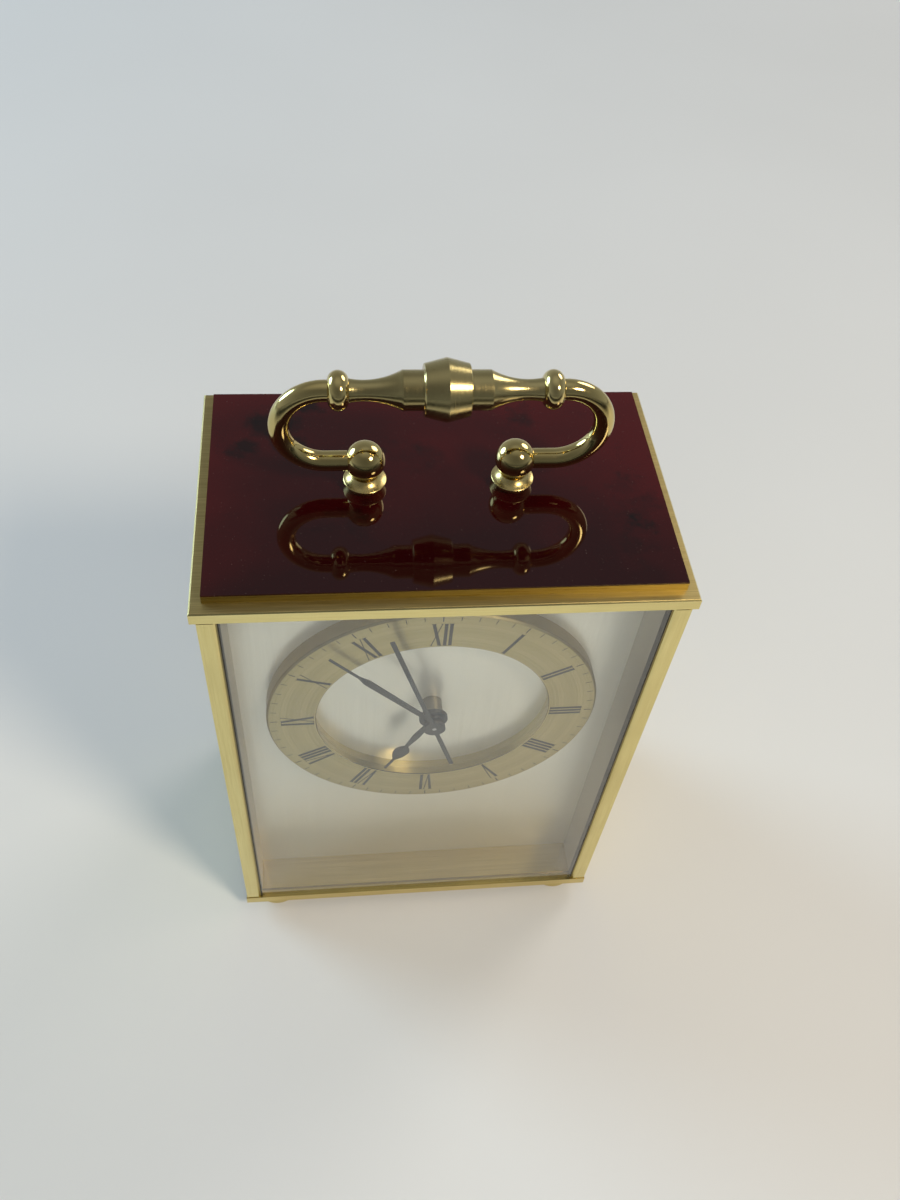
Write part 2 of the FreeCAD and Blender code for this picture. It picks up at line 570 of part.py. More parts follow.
def side_wall(side, sign):
    def across(text):
        return f"{sign} * ({text})"

    section = [
        (across(wall_outer), wall_front),
        (across(wall_outer), wall_rear),
        (across(wall_inner), wall_rear),
        (across(wall_inner), f"{dial_rear} + seat_clearance"),
        (across(f"{wall_inner} + dial_seat + seat_clearance"), f"{dial_rear} + seat_clearance"),
        (across(f"{wall_inner} + dial_seat + seat_clearance"), f"{dial_front} - seat_clearance"),
        (across(wall_inner), f"{dial_front} - seat_clearance"),
        (across(wall_inner), f"{wall_front} + wall_chamfer"),
        (across(f"{wall_inner} + wall_chamfer"), wall_front),
    ]
    wall = padded(f"wall_{side}", "XY_Plane", section, "wall_height")
    seat(wall, ("0", "0", floor))
    near, far = (wall_inner, f"({wall_inner} - rail_width)")
    if sign == "1":
        near, far = far, near
    else:
        near, far = f"-{near}", f"-{far}"
    rails = [
        block(f"rail_{side}_{end}", (near, f"{dial_rear} + rail_gap", low), (far, back_front, high))
        for end, low, high in (("low", floor, f"{floor} + rail_height"),
                               ("high", f"{ceiling} - rail_height", ceiling))
    ]
    x_low, x_high = (wall_outer, f"({wall_outer} - shadow_depth)")
    if sign == "1":
        x_low, x_high = x_high, f"({wall_outer} + {overcut})"
    else:
        x_low, x_high = f"(-{wall_outer} - {overcut})", f"-{x_high}"
    front_low, front_high = wall_inner, wall_outer
    if sign == "-1":
        front_low, front_high = f"-{wall_outer}", f"-{wall_inner}"
    tools = [
        block(f"shadow_side_{side}", (x_low, f"{front} - {overcut}", f"{ceiling} - shadow_height"),
              (x_high, f"{rear} + {overcut}", f"{ceiling} + {overcut}")),
        block(f"shadow_front_{side}", (front_low, f"{front} - {overcut}", f"{ceiling} - shadow_height"),
              (front_high, f"{wall_front} + shadow_depth", f"{ceiling} + {overcut}")),
    ]
    wider = "screw_diameter + 2 * screw_clearance"
    for index, (x, y) in enumerate(plate_screw_spots):
        if (sign == "1") == x.startswith("1"):
            tools.append(cylinder(f"low_bore_{side}_{index}", "+z", (x, y, base_low), wider,
                                  "screw_length + screw_clearance"))
            tools.append(cylinder(f"high_bore_{side}_{index}", "-z", (x, y, roof), wider,
                                  "screw_length + screw_clearance"))
    for index, (x, z) in enumerate(back_screw_spots):
        if (sign == "1") == x.startswith("1"):
            tools.append(cylinder(f"back_bore_{side}_{index}", "-y", (x, back_rear, z), wider,
                                  "screw_length + screw_clearance"))
    return cut(f"side_wall_{side}", fused(f"wall_{side}_with_rails", wall, *rails), *tools)


def top_plate():
    body = padded("top", "XY_Plane", [
        ("-plate_width / 2", front),
        ("plate_width / 2", front),
        ("plate_width / 2", rear),
        ("-plate_width / 2", rear),
    ], "plate_thickness")
    doc.recompute()
    pad = body.Tip
    names = [f"Face{number}" for number, face in enumerate(pad.Shape.Faces, start=1)
             if face.CenterOfMass.z > pad.Shape.BoundBox.ZMax - pad.Shape.BoundBox.ZLength / 4]
    bevel = body.newObject("PartDesign::Chamfer", "top_bevel")
    bevel.Base = (pad, names)
    bevel.setExpression("Size", formula("plate_chamfer"))
    seat(body, ("0", "0", ceiling))
    tools = [block("top_glass_groove",
                   (f"-{wall_inner}", f"{glass_front} - seat_clearance", f"{ceiling} - {overcut}"),
                   (wall_inner, f"{glass_rear} + seat_clearance", f"{ceiling} + glass_seat"))]
    for index, (x, y) in enumerate(plate_screw_spots):
        tools.append(flat_screw_hole(f"top_screw_hole_{index}", "-z", (x, y, roof)))
    for sign in ("-1", "1"):
        tools.append(stem_hole(f"top_stem_hole_{len(tools)}", sign, ceiling, "plate_thickness"))
    return cut("top_plate", body, *tools)


def stem_hole(name, sign, low, thickness):
    return cylinder(name, "+z", (f"{sign} * {ball_x}", "0", f"{low} - {overcut}"),
                    "stem_diameter + 2 * stem_clearance", f"{thickness} + 2 * {overcut}")


def cover_plate(name, low, thickness):
    half_x = "(plate_width / 2 - inlay_margin_x)"
    half_y = "(plate_depth / 2 - inlay_margin_y)"
    plate = block(f"{name}_blank", (f"-{half_x}", f"-{half_y}", low),
                  (half_x, half_y, f"{low} + {thickness}"))
    holes = [stem_hole(f"{name}_hole_{index}", sign, low, thickness)
             for index, sign in enumerate(("-1", "1"))]
    return cut(name, plate, *holes)


def plate_screws(name, direction, level):
    return group(name, *[flat_screw(f"{name}_{index}", direction, (x, y, level))
                         for index, (x, y) in enumerate(plate_screw_spots)])


def back_screws():
    screws = []
    for index, (x, z) in enumerate(back_screw_spots):
        head = cylinder(f"back_head_{index}", "+y", (x, back_rear, z), "screw_head", "screw_head_height")
        shank = cylinder(f"back_shank_{index}", "-y", (x, back_rear, z), "screw_diameter", "screw_length")
        top = f"{back_rear} + screw_head_height"
        slot = block(f"back_slot_{index}",
                     (f"{x} - screw_head", f"{top} - slot_depth", f"{z} - slot_width / 2"),
                     (f"{x} + screw_head", top, f"{z} + slot_width / 2"))
        screws.append(cut(f"back_screw_{index}", fused(f"back_screw_blank_{index}", head, shank), slot))
    return group("back_screws", *screws)


def back_panel():
    half = f"({wall_inner} - back_clearance)"
    low = floor
    high = f"({ceiling} - back_clearance)"
    win_x = f"({case_half} + window_margin)"
    win_low = f"({case_bottom} - window_margin)"
    win_high = f"({case_top} + window_margin)"
    panel = block("back_blank", (f"-{half}", back_front, low), (half, back_rear, high))
    opening = padded("window", "XZ_Plane", [
        (f"{win_x} - window_radius", win_low),
        (win_x, f"{win_low} + window_radius", "window_radius", 1),
        (win_x, f"{win_high} - window_radius"),
        (f"{win_x} - window_radius", win_high, "window_radius", 1),
        (f"-({win_x} - window_radius)", win_high),
        (f"-{win_x}", f"{win_high} - window_radius", "window_radius", 1),
        (f"-{win_x}", f"{win_low} + window_radius"),
        (f"-({win_x} - window_radius)", win_low, "window_radius", 1),
    ], f"back_thickness + 2 * {overcut}")
    seat(opening, ("0", f"{back_rear} + {overcut}", "0"))
    holes = [cylinder(f"back_hole_{index}", "+y", (x, f"{back_front} - {overcut}", z),
                      "screw_diameter + 2 * screw_clearance", f"back_thickness + 2 * {overcut}")
             for index, (x, z) in enumerate(back_screw_spots)]
    return cut("back_panel", panel, opening, *holes)


def front_glass():
    return block("front_glass", (f"-{glass_half}", glass_front, f"{floor} - glass_seat"),
                 (glass_half, glass_rear, f"{ceiling} + glass_seat - seat_clearance"))


def wall_strips(name, near, far):
    strips = [
        block(f"{name}_left", (f"-{wall_inner}", near, floor), (f"-{glass_half}", far, ceiling)),
        block(f"{name}_right", (glass_half, near, floor), (wall_inner, far, ceiling)),
    ]
    return group(name, *strips)


ear_spots = [
    (f"{side} * ({case_half} + ear_width / 2)", height)
    for side in ("-1", "1")
    for height in (f"({case_top} - ear_drop)", f"({case_bottom} + ear_drop)")
]


def dial_plate():
    half = f"({wall_inner} + dial_seat)"
    plate = block("dial_blank", (f"-{half}", dial_front, floor),
                  (half, dial_rear, f"{ceiling} - seat_clearance"))
    studs = [cylinder(f"dial_stud_{index}", "+y", (x, f"{dial_rear} - dial_thickness / 2", z), "dial_stud",
                      "dial_thickness / 2 + ear_thickness + dial_nut_height + stem_clearance")
             for index, (x, z) in enumerate(ear_spots)]
    bore = cylinder("dial_bore", "+y", ("0", f"{dial_front} - {overcut}", dial_z),
                    "bush_diameter + 2 * arbor_clearance", f"dial_thickness + 2 * {overcut}")
    return cut("dial_plate", fused("dial_with_studs", plate, *studs), bore)


def chapter_ring():
    ring = revolved("ring", "XY_Plane", [
        (bore_radius, "-ring_thickness"),
        (f"{ring_radius} - ring_chamfer", "-ring_thickness"),
        (ring_radius, "ring_chamfer - ring_thickness"),
        (ring_radius, "0"),
        (f"{bore_radius} + ring_flare", "0"),
    ], "V_Axis")
    return seat(ring, ("0", dial_front, dial_z))


def handle_post(side, sign):
    x = f"{sign} * {ball_x}"
    ball = doc.addObject("Part::Sphere", f"ball_{side}")
    ball.setExpression("Radius", formula("ball_diameter / 2"))
    seat(ball, (x, "0", ball_z))
    low = f"({ceiling} - nut_height - stem_tail)"
    stem = cylinder(f"stem_{side}", "+z", (x, "0", low), "stem_diameter", f"{ball_z} - {low}")
    bore = cylinder(f"pivot_bore_{side}", "+x" if sign == "1" else "-x",
                    (f"{sign} * ({ball_x} + pivot_bore)", "0", ball_z),
                    "bail_diameter + 2 * pivot_clearance", "ball_diameter")
    return cut(f"handle_post_{side}", fused(f"post_blank_{side}", ball, stem), bore)


def post_collar(side, sign):
    collar = revolved(f"collar_{side}", "XZ_Plane", [
        (stem_hole_radius, "0"),
        ("collar_foot / 2", "0"),
        ("collar_diameter / 2", f"{collar_height} - collar_flare - collar_rim"),
        ("collar_diameter / 2", f"{collar_height} - collar_flare"),
        ("collar_top / 2", collar_height, "collar_sweep", -1),
        (stem_hole_radius, collar_height),
    ], "V_Axis")
    return seat(collar, (f"{sign} * {ball_x}", "0", panel_top))


def post_nuts():
    nuts = []
    for index, sign in enumerate(("-1", "1")):
        place = (f"{sign} * {ball_x}", "0", ceiling)
        nut = hexagon(f"post_nut_blank_{index}", "-z", place, "nut_flats", "nut_height")
        bore = cylinder(f"post_nut_bore_{index}", "-z", place, f"2 * {stem_hole_radius}", "nut_height")
        nuts.append(cut(f"post_nut_{index}", nut, bore))
    return group("post_nuts", *nuts)


def handle_arm(side, sign):
    outward = "+x" if sign == "1" else "-x"
    inward = "-x" if sign == "1" else "+x"
    start = f"({ball_x} + pivot_bore + pivot_play)"
    lower = cylinder(f"arm_lower_{side}", outward, (f"{sign} * {start}", "0", ball_z), "bail_diameter",
                     f"{bend_x} - {start}")
    upper = cylinder(f"arm_upper_{side}", inward, (f"{sign} * {bend_x}", "0", bar_z), "bail_diameter",
                     f"{bend_x} - {grip_half}")
    spigot = cylinder(f"arm_spigot_{side}", inward, (f"{sign} * {grip_half}", "0", bar_z),
                      "spigot_diameter", "spigot_length")
    bend = doc.addObject("Part::Torus", f"arm_bend_{side}")
    bend.setExpression("Radius1", formula(bend_radius))
    bend.setExpression("Radius2", formula("bail_diameter / 2"))
    bend.Angle3 = 180
    outside = V(float(sign), 0, 0)
    turned = FreeCAD.Rotation(V(0, 0, -1), outside, V(0, 0, -1).cross(outside), "XYZ")
    bend.Placement = FreeCAD.Placement(V(), turned)
    seat(bend, (f"{sign} * {bend_x}", "0", f"({ball_z} + {bend_radius})"))
    return fused(f"handle_arm_{side}", lower, bend, upper, spigot)


def handle_bead(side, sign):
    bore = "(bail_diameter / 2 + spigot_clearance)"
    edge = f"max({bore} + bead_lip; (bead_diameter - bead_width) / 2)"
    rise = f"(bead_diameter / 2 - {edge})"
    rounding = f"(((bead_width / 2) ^ 2 + {rise} ^ 2) / (2 * {rise}))"
    bead = revolved(f"bead_{side}", "XZ_Plane", [
        ("-bead_width / 2", bore),
        ("-bead_width / 2", edge),
        ("0", "bead_diameter / 2", rounding, -1),
        ("bead_width / 2", edge, rounding, -1),
        ("bead_width / 2", bore),
    ], "H_Axis")
    return seat(bead, (f"{sign} * bead_offset", "0", bar_z))


def handle_grip():
    socket = "spigot_diameter / 2 + spigot_clearance"
    depth = f"({grip_half} - spigot_length - spigot_clearance)"
    right = [
        ("knob_half", "grip_shoulder / 2"),
        ("knob_half", "grip_step / 2"),
        ("knob_half + step_length", "grip_step / 2"),
        (grip_half, "grip_end / 2", taper_sweep, 1),
        (grip_half, socket),
        (depth, socket),
        (depth, "0"),
    ]
    left = [
        (f"-{depth}", "0"),
        (f"-{depth}", socket),
        (f"-{grip_half}", socket),
        (f"-{grip_half}", "grip_end / 2"),
        ("-(knob_half + step_length)", "grip_step / 2", taper_sweep, 1),
        ("-knob_half", "grip_step / 2"),
        ("-knob_half", "grip_shoulder / 2"),
    ]
    grip = revolved("grip", "XZ_Plane", [("0", "grip_knob / 2"), *right, *left], "H_Axis")
    return seat(grip, ("0", "0", bar_z))


def hand(name, outline, face, angle, boss, bore):
    # Clock hand drawn pointing at twelve and turned to its rest angle, with a boss behind it
    blade = padded(f"{name}_blade", "XZ_Plane", outline, "hand_thickness")
    plate = cylinder(f"{name}_boss", "+y", ("0", "-hand_thickness", "0"), boss,
                     "hand_thickness + boss_depth")
    hole = cylinder(f"{name}_bore", "+y", ("0", f"-hand_thickness - {overcut}", "0"), bore,
                    f"hand_thickness + boss_depth + 2 * {overcut}")
    shape = cut(name, fused(f"{name}_blank", blade, plate), hole)
    shape.Placement = FreeCAD.Placement(V(), FreeCAD.Rotation(V(0, 1, 0), number(angle)))
    shape.setExpression("Placement.Rotation.Angle", formula(angle))
    return seat(shape, ("0", f"{dial_front} - {face} + hand_thickness", dial_z))


def hour_hand():
    return hand("hour_hand", [
        ("-hour_neck / 2", "0"),
        ("-hour_leaf / 2", "hour_leaf_at"),
        ("-hour_neck / 2", "hour_neck_at"),
        ("-spade_width / 2", "spade_at", "spade_heel", -1),
        ("-hand_tip / 2", "spade_end", "spade_flank", -1),
        ("-hand_tip / 2", "hour_length"),
        ("hand_tip / 2", "hour_length"),
        ("hand_tip / 2", "spade_end"),
        ("spade_width / 2", "spade_at", "spade_flank", -1),
        ("hour_neck / 2", "hour_neck_at", "spade_heel", -1),
        ("hour_leaf / 2", "hour_leaf_at"),
        ("hour_neck / 2", "0"),
    ], hour_front, "rest_hour * 30 + minute_angle / 12", "hour_boss", "hour_pipe + 2 * spigot_clearance")


def minute_hand():
    return hand("minute_hand", [
        ("-minute_root / 2", "0"),
        ("-minute_width / 2", "minute_wide_at"),
        ("-hand_tip / 2", "minute_point_at"),
        ("-hand_tip / 2", f"{ring_radius} - minute_short"),
        ("hand_tip / 2", f"{ring_radius} - minute_short"),
        ("hand_tip / 2", "minute_point_at"),
        ("minute_width / 2", "minute_wide_at"),
        ("minute_root / 2", "0"),
    ], minute_front, "minute_angle", "minute_boss", "minute_pipe + 2 * spigot_clearance")


def second_hand():
    return hand("second_hand", [
        ("-second_width / 2", "-second_tail"),
        ("-second_width / 2", f"{ring_radius} - second_short"),
        ("second_width / 2", f"{ring_radius} - second_short"),
        ("second_width / 2", "-second_tail"),
    ], second_front, "second_angle", "second_boss", "seconds_arbor + 2 * spigot_clearance")


post_spots = [
    (f"{side} * ({case_half} - case_wall - post_size / 2)", height)
    for side in ("-1", "1")
    for height in (f"({case_top} - case_wall - post_size / 2)",
                   f"({shelf_top} + battery_room + post_size / 2)")
]


def bearing(name, direction, x, z, start, end, arbor):
    # Boss with a blind bore in its far end for an arbor's pivot
    outside = f"({arbor} + 2 * arbor_clearance + 2 * bearing_wall)"
    length = f"({end} - {start})" if direction == "+y" else f"({start} - {end})"
    boss = cylinder(f"{name}_boss", direction, (x, start, z), outside, length)
    mouth = f"({end} - bearing_depth)" if direction == "+y" else end
    bore = cylinder(f"{name}_pivot", "+y", (x, mouth, z), f"{arbor} + 2 * arbor_clearance", "bearing_depth")
    return boss, bore


def movement_front_case():
    shell = block("front_case_outside", (f"-{case_half}", dial_rear, case_bottom),
                  (case_half, case_split, case_top))
    cavity = block("front_case_inside",
                   (f"-({case_half} - case_wall)", case_inside, f"{case_bottom} + case_wall"),
                   (f"({case_half} - case_wall)", f"{case_split} + {overcut}", f"{case_top} - case_wall"))
    hollow = cut("front_case_shell", shell, cavity)
    ears = [block(f"ear_{index}", (f"{x} - ear_width / 2", dial_rear, f"{z} - ear_height / 2"),
                  (f"{x} + ear_width / 2", f"{dial_rear} + ear_thickness", f"{z} + ear_height / 2"))
            for index, (x, z) in enumerate(ear_spots)]
    posts = [block(f"case_post_{index}", (f"{x} - post_size / 2", case_inside, f"{z} - post_size / 2"),
                   (f"{x} + post_size / 2", case_split, f"{z} + post_size / 2"))
             for index, (x, z) in enumerate(post_spots)]
    shoulder = cylinder("motion_shoulder", "+y", (motion_x, dial_rear, motion_z), "2 * motion_post",
                        f"{hour_layer} - pinion_margin - arbor_clearance - {dial_rear}")
    pin = cylinder("motion_pin", "+y", (motion_x, dial_rear, motion_z), "motion_post",
                   f"{motion_layer} + wheel_thickness + pinion_margin - {dial_rear}")
    third_boss, third_bore = bearing("third_front", "+y", third_x, third_z, dial_rear,
                                     f"({centre_layer} - bearing_gap)", "train_arbor")
    rotor_boss, rotor_bore = bearing("rotor_front", "+y", rotor_x, rotor_z, dial_rear,
                                     f"({seconds_layer} - bearing_gap)", "rotor_arbor")
    stem_boss, stem_bore = bearing("stem_front", "+y", setting_x, setting_z, dial_rear,
                                   f"({motion_layer} - bearing_gap)", "motion_post")
    tools = [third_bore, rotor_bore, stem_bore]
    tools.append(cylinder("bush_hole", "+y", ("0", f"{dial_rear} - {overcut}", dial_z),
                          "bush_diameter + 2 * arbor_clearance", f"case_wall + 2 * {overcut}"))
    for index, (x, z) in enumerate(ear_spots):
        tools.append(cylinder(f"ear_hole_{index}", "+y", (x, f"{dial_rear} - {overcut}", z),
                              "dial_stud + 2 * screw_clearance", f"ear_thickness + 2 * {overcut}"))
    for index, (x, z) in enumerate(post_spots):
        tools.append(cylinder(f"post_bore_{index}", "-y", (x, case_rear, z),
                              "post_screw + 2 * arbor_clearance", "post_screw_length + screw_clearance"))
    bosses = [shoulder, pin, third_boss, rotor_boss, stem_boss]
    solid = fused("front_case_blank", hollow, *ears, *posts, *bosses)
    return cut("movement_front_case", solid, *tools)


def movement_back_case():
    inside_half = f"({case_half} - case_wall)"
    inside_low = f"({case_bottom} + case_wall)"
    shell = block("back_case_outside", (f"-{case_half}", case_split, case_bottom),
                  (case_half, case_rear, case_top))
    cavity = block("back_case_inside", (f"-{inside_half}", f"{case_split} - {overcut}", inside_low),
                   (inside_half, back_inside, f"{case_top} - case_wall"))
    hollow = cut("back_case_shell", shell, cavity)
    inner = f"({inside_half} - battery_room)"
    shelf = block("battery_shelf", (f"-{inner}", f"{case_inside} + battery_room", shelf_low),
                  (inner, case_rear, shelf_top))
    third_boss, third_bore = bearing("third_rear", "-y", third_x, third_z, back_inside, rear_bearing,
                                     "train_arbor")
    seconds_boss, seconds_bore = bearing("seconds_rear", "-y", "0", dial_z, back_inside, rear_bearing,
                                         "seconds_arbor")
    rotor_boss, rotor_bore = bearing("rotor_rear", "-y", rotor_x, rotor_z, case_rear,
                                     f"({magnet_rear} + bearing_gap)", "rotor_arbor")
    rests = [
        cylinder("board_rest_low", "-y", (board_middle, back_inside, f"{board_bottom} + rest_inset"),
                 "rest_diameter", "board_rise"),
        cylinder("board_rest_high", "-y", (board_middle, back_inside, f"{board_top} - rest_inset"),
                 "rest_diameter", "board_rise"),
        cylinder("stator_rest_low", "-y",
                 (f"-{coil_offset}", back_inside, f"{stator_low} + core_width / 2"),
                 "core_width", f"{back_inside} - {stator_rear}"),
        cylinder("stator_rest_high", "-y",
                 (f"-{coil_offset}", back_inside, f"{stator_high} - core_width / 2"),
                 "core_width", f"{back_inside} - {stator_rear}"),
    ]
    tools = [third_bore, seconds_bore, rotor_bore]
    tools.append(block("battery_door",
                       (f"-{inside_half}", f"{back_inside} - {overcut}", inside_low),
                       (inside_half, f"{case_rear} + {overcut}", shelf_low)))
    tools.append(cylinder("stem_exit", "+y", (setting_x, f"{back_inside} - {overcut}", setting_z),
                          "stem_arbor + 2 * arbor_clearance", f"case_wall + 2 * {overcut}"))
    for index, (x, z) in enumerate(post_spots):
        tools.append(cylinder(f"back_post_bore_{index}", "+y", (x, f"{back_inside} - {overcut}", z),
                              "post_screw + 2 * screw_clearance", f"case_wall + 2 * {overcut}"))
    solid = fused("back_case_blank", hollow, shelf, third_boss, seconds_boss, rotor_boss, *rests)
    return cut("movement_back_case", solid, *tools)


def movement_screws():
    screws = []
    for index, (x, z) in enumerate(post_spots):
        head = cylinder(f"post_head_{index}", "+y", (x, case_rear, z), "post_screw_head",
                        "post_screw_head / 3")
        shank = cylinder(f"post_shank_{index}", "-y", (x, case_rear, z), "post_screw", "post_screw_length")
        slot = block(f"post_slot_{index}",
                     (f"{x} - post_screw_head", f"{case_rear} + post_screw_head / 6",
                      f"{z} - slot_width / 3"),
                     (f"{x} + post_screw_head", f"{case_rear} + post_screw_head",
                      f"{z} + slot_width / 3"))
        screws.append(cut(f"movement_screw_{index}", fused(f"post_screw_blank_{index}", head, shank), slot))
    return group("movement_screws", *screws)


def movement_nuts():
    nuts = []
    for index, (x, z) in enumerate(ear_spots):
        place = (x, f"{dial_rear} + ear_thickness", z)
        nut = hexagon(f"dial_nut_blank_{index}", "+y", place, "dial_nut_flats", "dial_nut_height")
        bore = cylinder(f"dial_nut_bore_{index}", "+y", place, "dial_stud + 2 * stem_clearance",
                        "dial_nut_height")
        nuts.append(cut(f"dial_nut_{index}", nut, bore))
    return group("movement_nuts", *nuts)


def centre_bush():
    start = f"({dial_front} - {bush_front})"
    end = f"({case_inside} + bush_flange)"
    tube = cylinder("bush_tube", "+y", ("0", start, dial_z), "bush_diameter", f"{end} - {start}")
    flange = cylinder("bush_flange_disc", "+y", ("0", case_inside, dial_z), "bush_flange_diameter",
                      "bush_flange")
    bore = cylinder("bush_bore", "+y", ("0", f"{start} - {overcut}", dial_z),
                    "hour_pipe + 2 * arbor_clearance", f"{end} - {start} + 2 * {overcut}")
    return cut("centre_bush", fused("bush_blank", tube, flange), bore)


def stator():
    hole = "(magnet_diameter + 2 * stator_gap)"
    left = f"(-{coil_offset} - core_width / 2)"
    core = block("stator_core", (left, stator_front, stator_low),
                 (f"{left} + core_width", stator_rear, stator_high))
    top = block("stator_top", (left, stator_front, f"{stator_high} - core_width"),
                (f"{rotor_x} + core_width / 2", stator_rear, stator_high))
    drop = block("stator_drop", (f"{rotor_x} - core_width / 2", stator_front, rotor_z),
                 (f"{rotor_x} + core_width / 2", stator_rear, stator_high))
    foot = block("stator_foot", (left, stator_front, stator_low),
                 (rotor_x, stator_rear, f"{stator_low} + core_width"))
    ring = cylinder("stator_ring", "+y", (rotor_x, stator_front, rotor_z), f"{hole} + 2 * stator_land",
                    "stator_thickness")
    opening = cylinder("stator_opening", "+y", (rotor_x, f"{stator_front} - {overcut}", rotor_z), hole,
                       f"stator_thickness + 2 * {overcut}")
    return cut("stator", fused("stator_blank", core, top, drop, foot, ring), opening)


def coil():
    middle = f"(({stator_front} + {stator_rear}) / 2)"
    low = f"({dial_z} + coil_low)"
    winding = cylinder("coil_winding", "+z", (f"-{coil_offset}", middle, low),
                       "coil_diameter", "coil_length")
    slot = block("coil_slot",
                 (f"-{coil_offset} - core_width / 2 - core_clearance", f"{stator_front} - core_clearance",
                  f"{low} - {overcut}"),
                 (f"-{coil_offset} + core_width / 2 + core_clearance", f"{stator_rear} + core_clearance",
                  f"{low} + coil_length + {overcut}"))
    return cut("coil", winding, slot)


board_left = f"({case_half} - board_margin - board_width)"
board_middle = f"({board_left} + board_width / 2)"
board_bottom = f"({dial_z} + board_low)"
board_top = f"({board_bottom} + board_height)"


def circuit_board():
    return block("circuit_board", (board_left, board_front, board_bottom),
                 (f"{board_left} + board_width", board_rear, board_top))


def drive_chip():
    x = f"({board_middle} - chip_size / 2)"
    z = f"({board_bottom} + board_height / 4 - chip_size / 2)"
    return block("drive_chip", (x, f"{board_front} - chip_height", z),
                 (f"{x} + chip_size", board_front, f"{z} + chip_size"))


def quartz_crystal():
    middle = f"{board_front} - crystal_diameter / 2 - arbor_clearance"
    low = f"{board_top} - crystal_length - crystal_diameter"
    return cylinder("quartz_crystal", "+z", (board_middle, middle, low),
                    "crystal_diameter", "crystal_length")


def battery():
    can = cylinder("battery_can", "+x", (f"-{battery_half}", battery_y, battery_z), "battery_diameter",
                   "battery_length")
    button = cylinder("battery_button", "-x", (battery_half, battery_y, battery_z), "button_diameter",
                      "button_length")
    return fused("battery", can, button)


def contact(name, sign):
    # Folded leaf: one side lies on the case wall, the other presses on the battery's end
    wall = f"{sign} * ({case_half} - case_wall)"
    wall_leaf = f"{sign} * ({case_half} - case_wall - contact_thickness)"
    end_leaf = f"{sign} * ({battery_half} + contact_thickness)"
    end = f"{sign} * {battery_half}"
    near = f"({battery_y} - contact_size / 2)"
    far = f"({battery_y} + contact_size / 2)"
    leaf = padded(name, "XY_Plane", [
        (wall, near),
        (end, near),
        (end, far),
        (end_leaf, far),
        (end_leaf, f"{near} + contact_thickness"),
        (wall_leaf, f"{near} + contact_thickness"),
        (wall_leaf, far),
        (wall, far),
    ], "contact_size")
    return seat(leaf, ("0", "0", f"{battery_z} - contact_size / 2"))


def toothed(teeth, module, phase, low, high):
    # Straight-flanked wheel about the Y axis, with one tooth centred at the phase, clockwise from above
    pitch_radius = module * teeth / 2
    tip_radius = pitch_radius + addendum * module
    root_radius = pitch_radius - dedendum * module
    step = 2 * math.pi / teeth
    points = []
    for index in range(teeth):
        middle = math.radians(phase) + index * step
        for radius, share in ((root_radius, -root_share), (tip_radius, -tip_share),
                              (tip_radius, tip_share), (root_radius, root_share)):
            angle = middle + share * step / 2
            points.append(V(radius * math.sin(angle), low, radius * math.cos(angle)))
    outline = Part.Face(Part.makePolygon([*points, points[0]]))
    return outline.extrude(V(0, high - low, 0))


def round_bar(diameter, low, high):
    return Part.makeCylinder(diameter / 2, high - low, V(0, low, 0), V(0, 1, 0))


def meshing(phase, teeth, other_teeth, direction):
    # Phase of a wheel that meshes with one of the given phase, seen from it in the given direction
    lead = (direction - phase) % (360 / teeth)
    return direction + 180 + lead * teeth / other_teeth + 180 / other_teeth


def turned_piece(name, shape, x, z):
    piece = doc.addObject("Part::Feature", name)
    piece.Shape = shape.removeSplitter()
    piece.Placement = FreeCAD.Placement(V(number(x), 0, number(z)), FreeCAD.Rotation())
    return piece


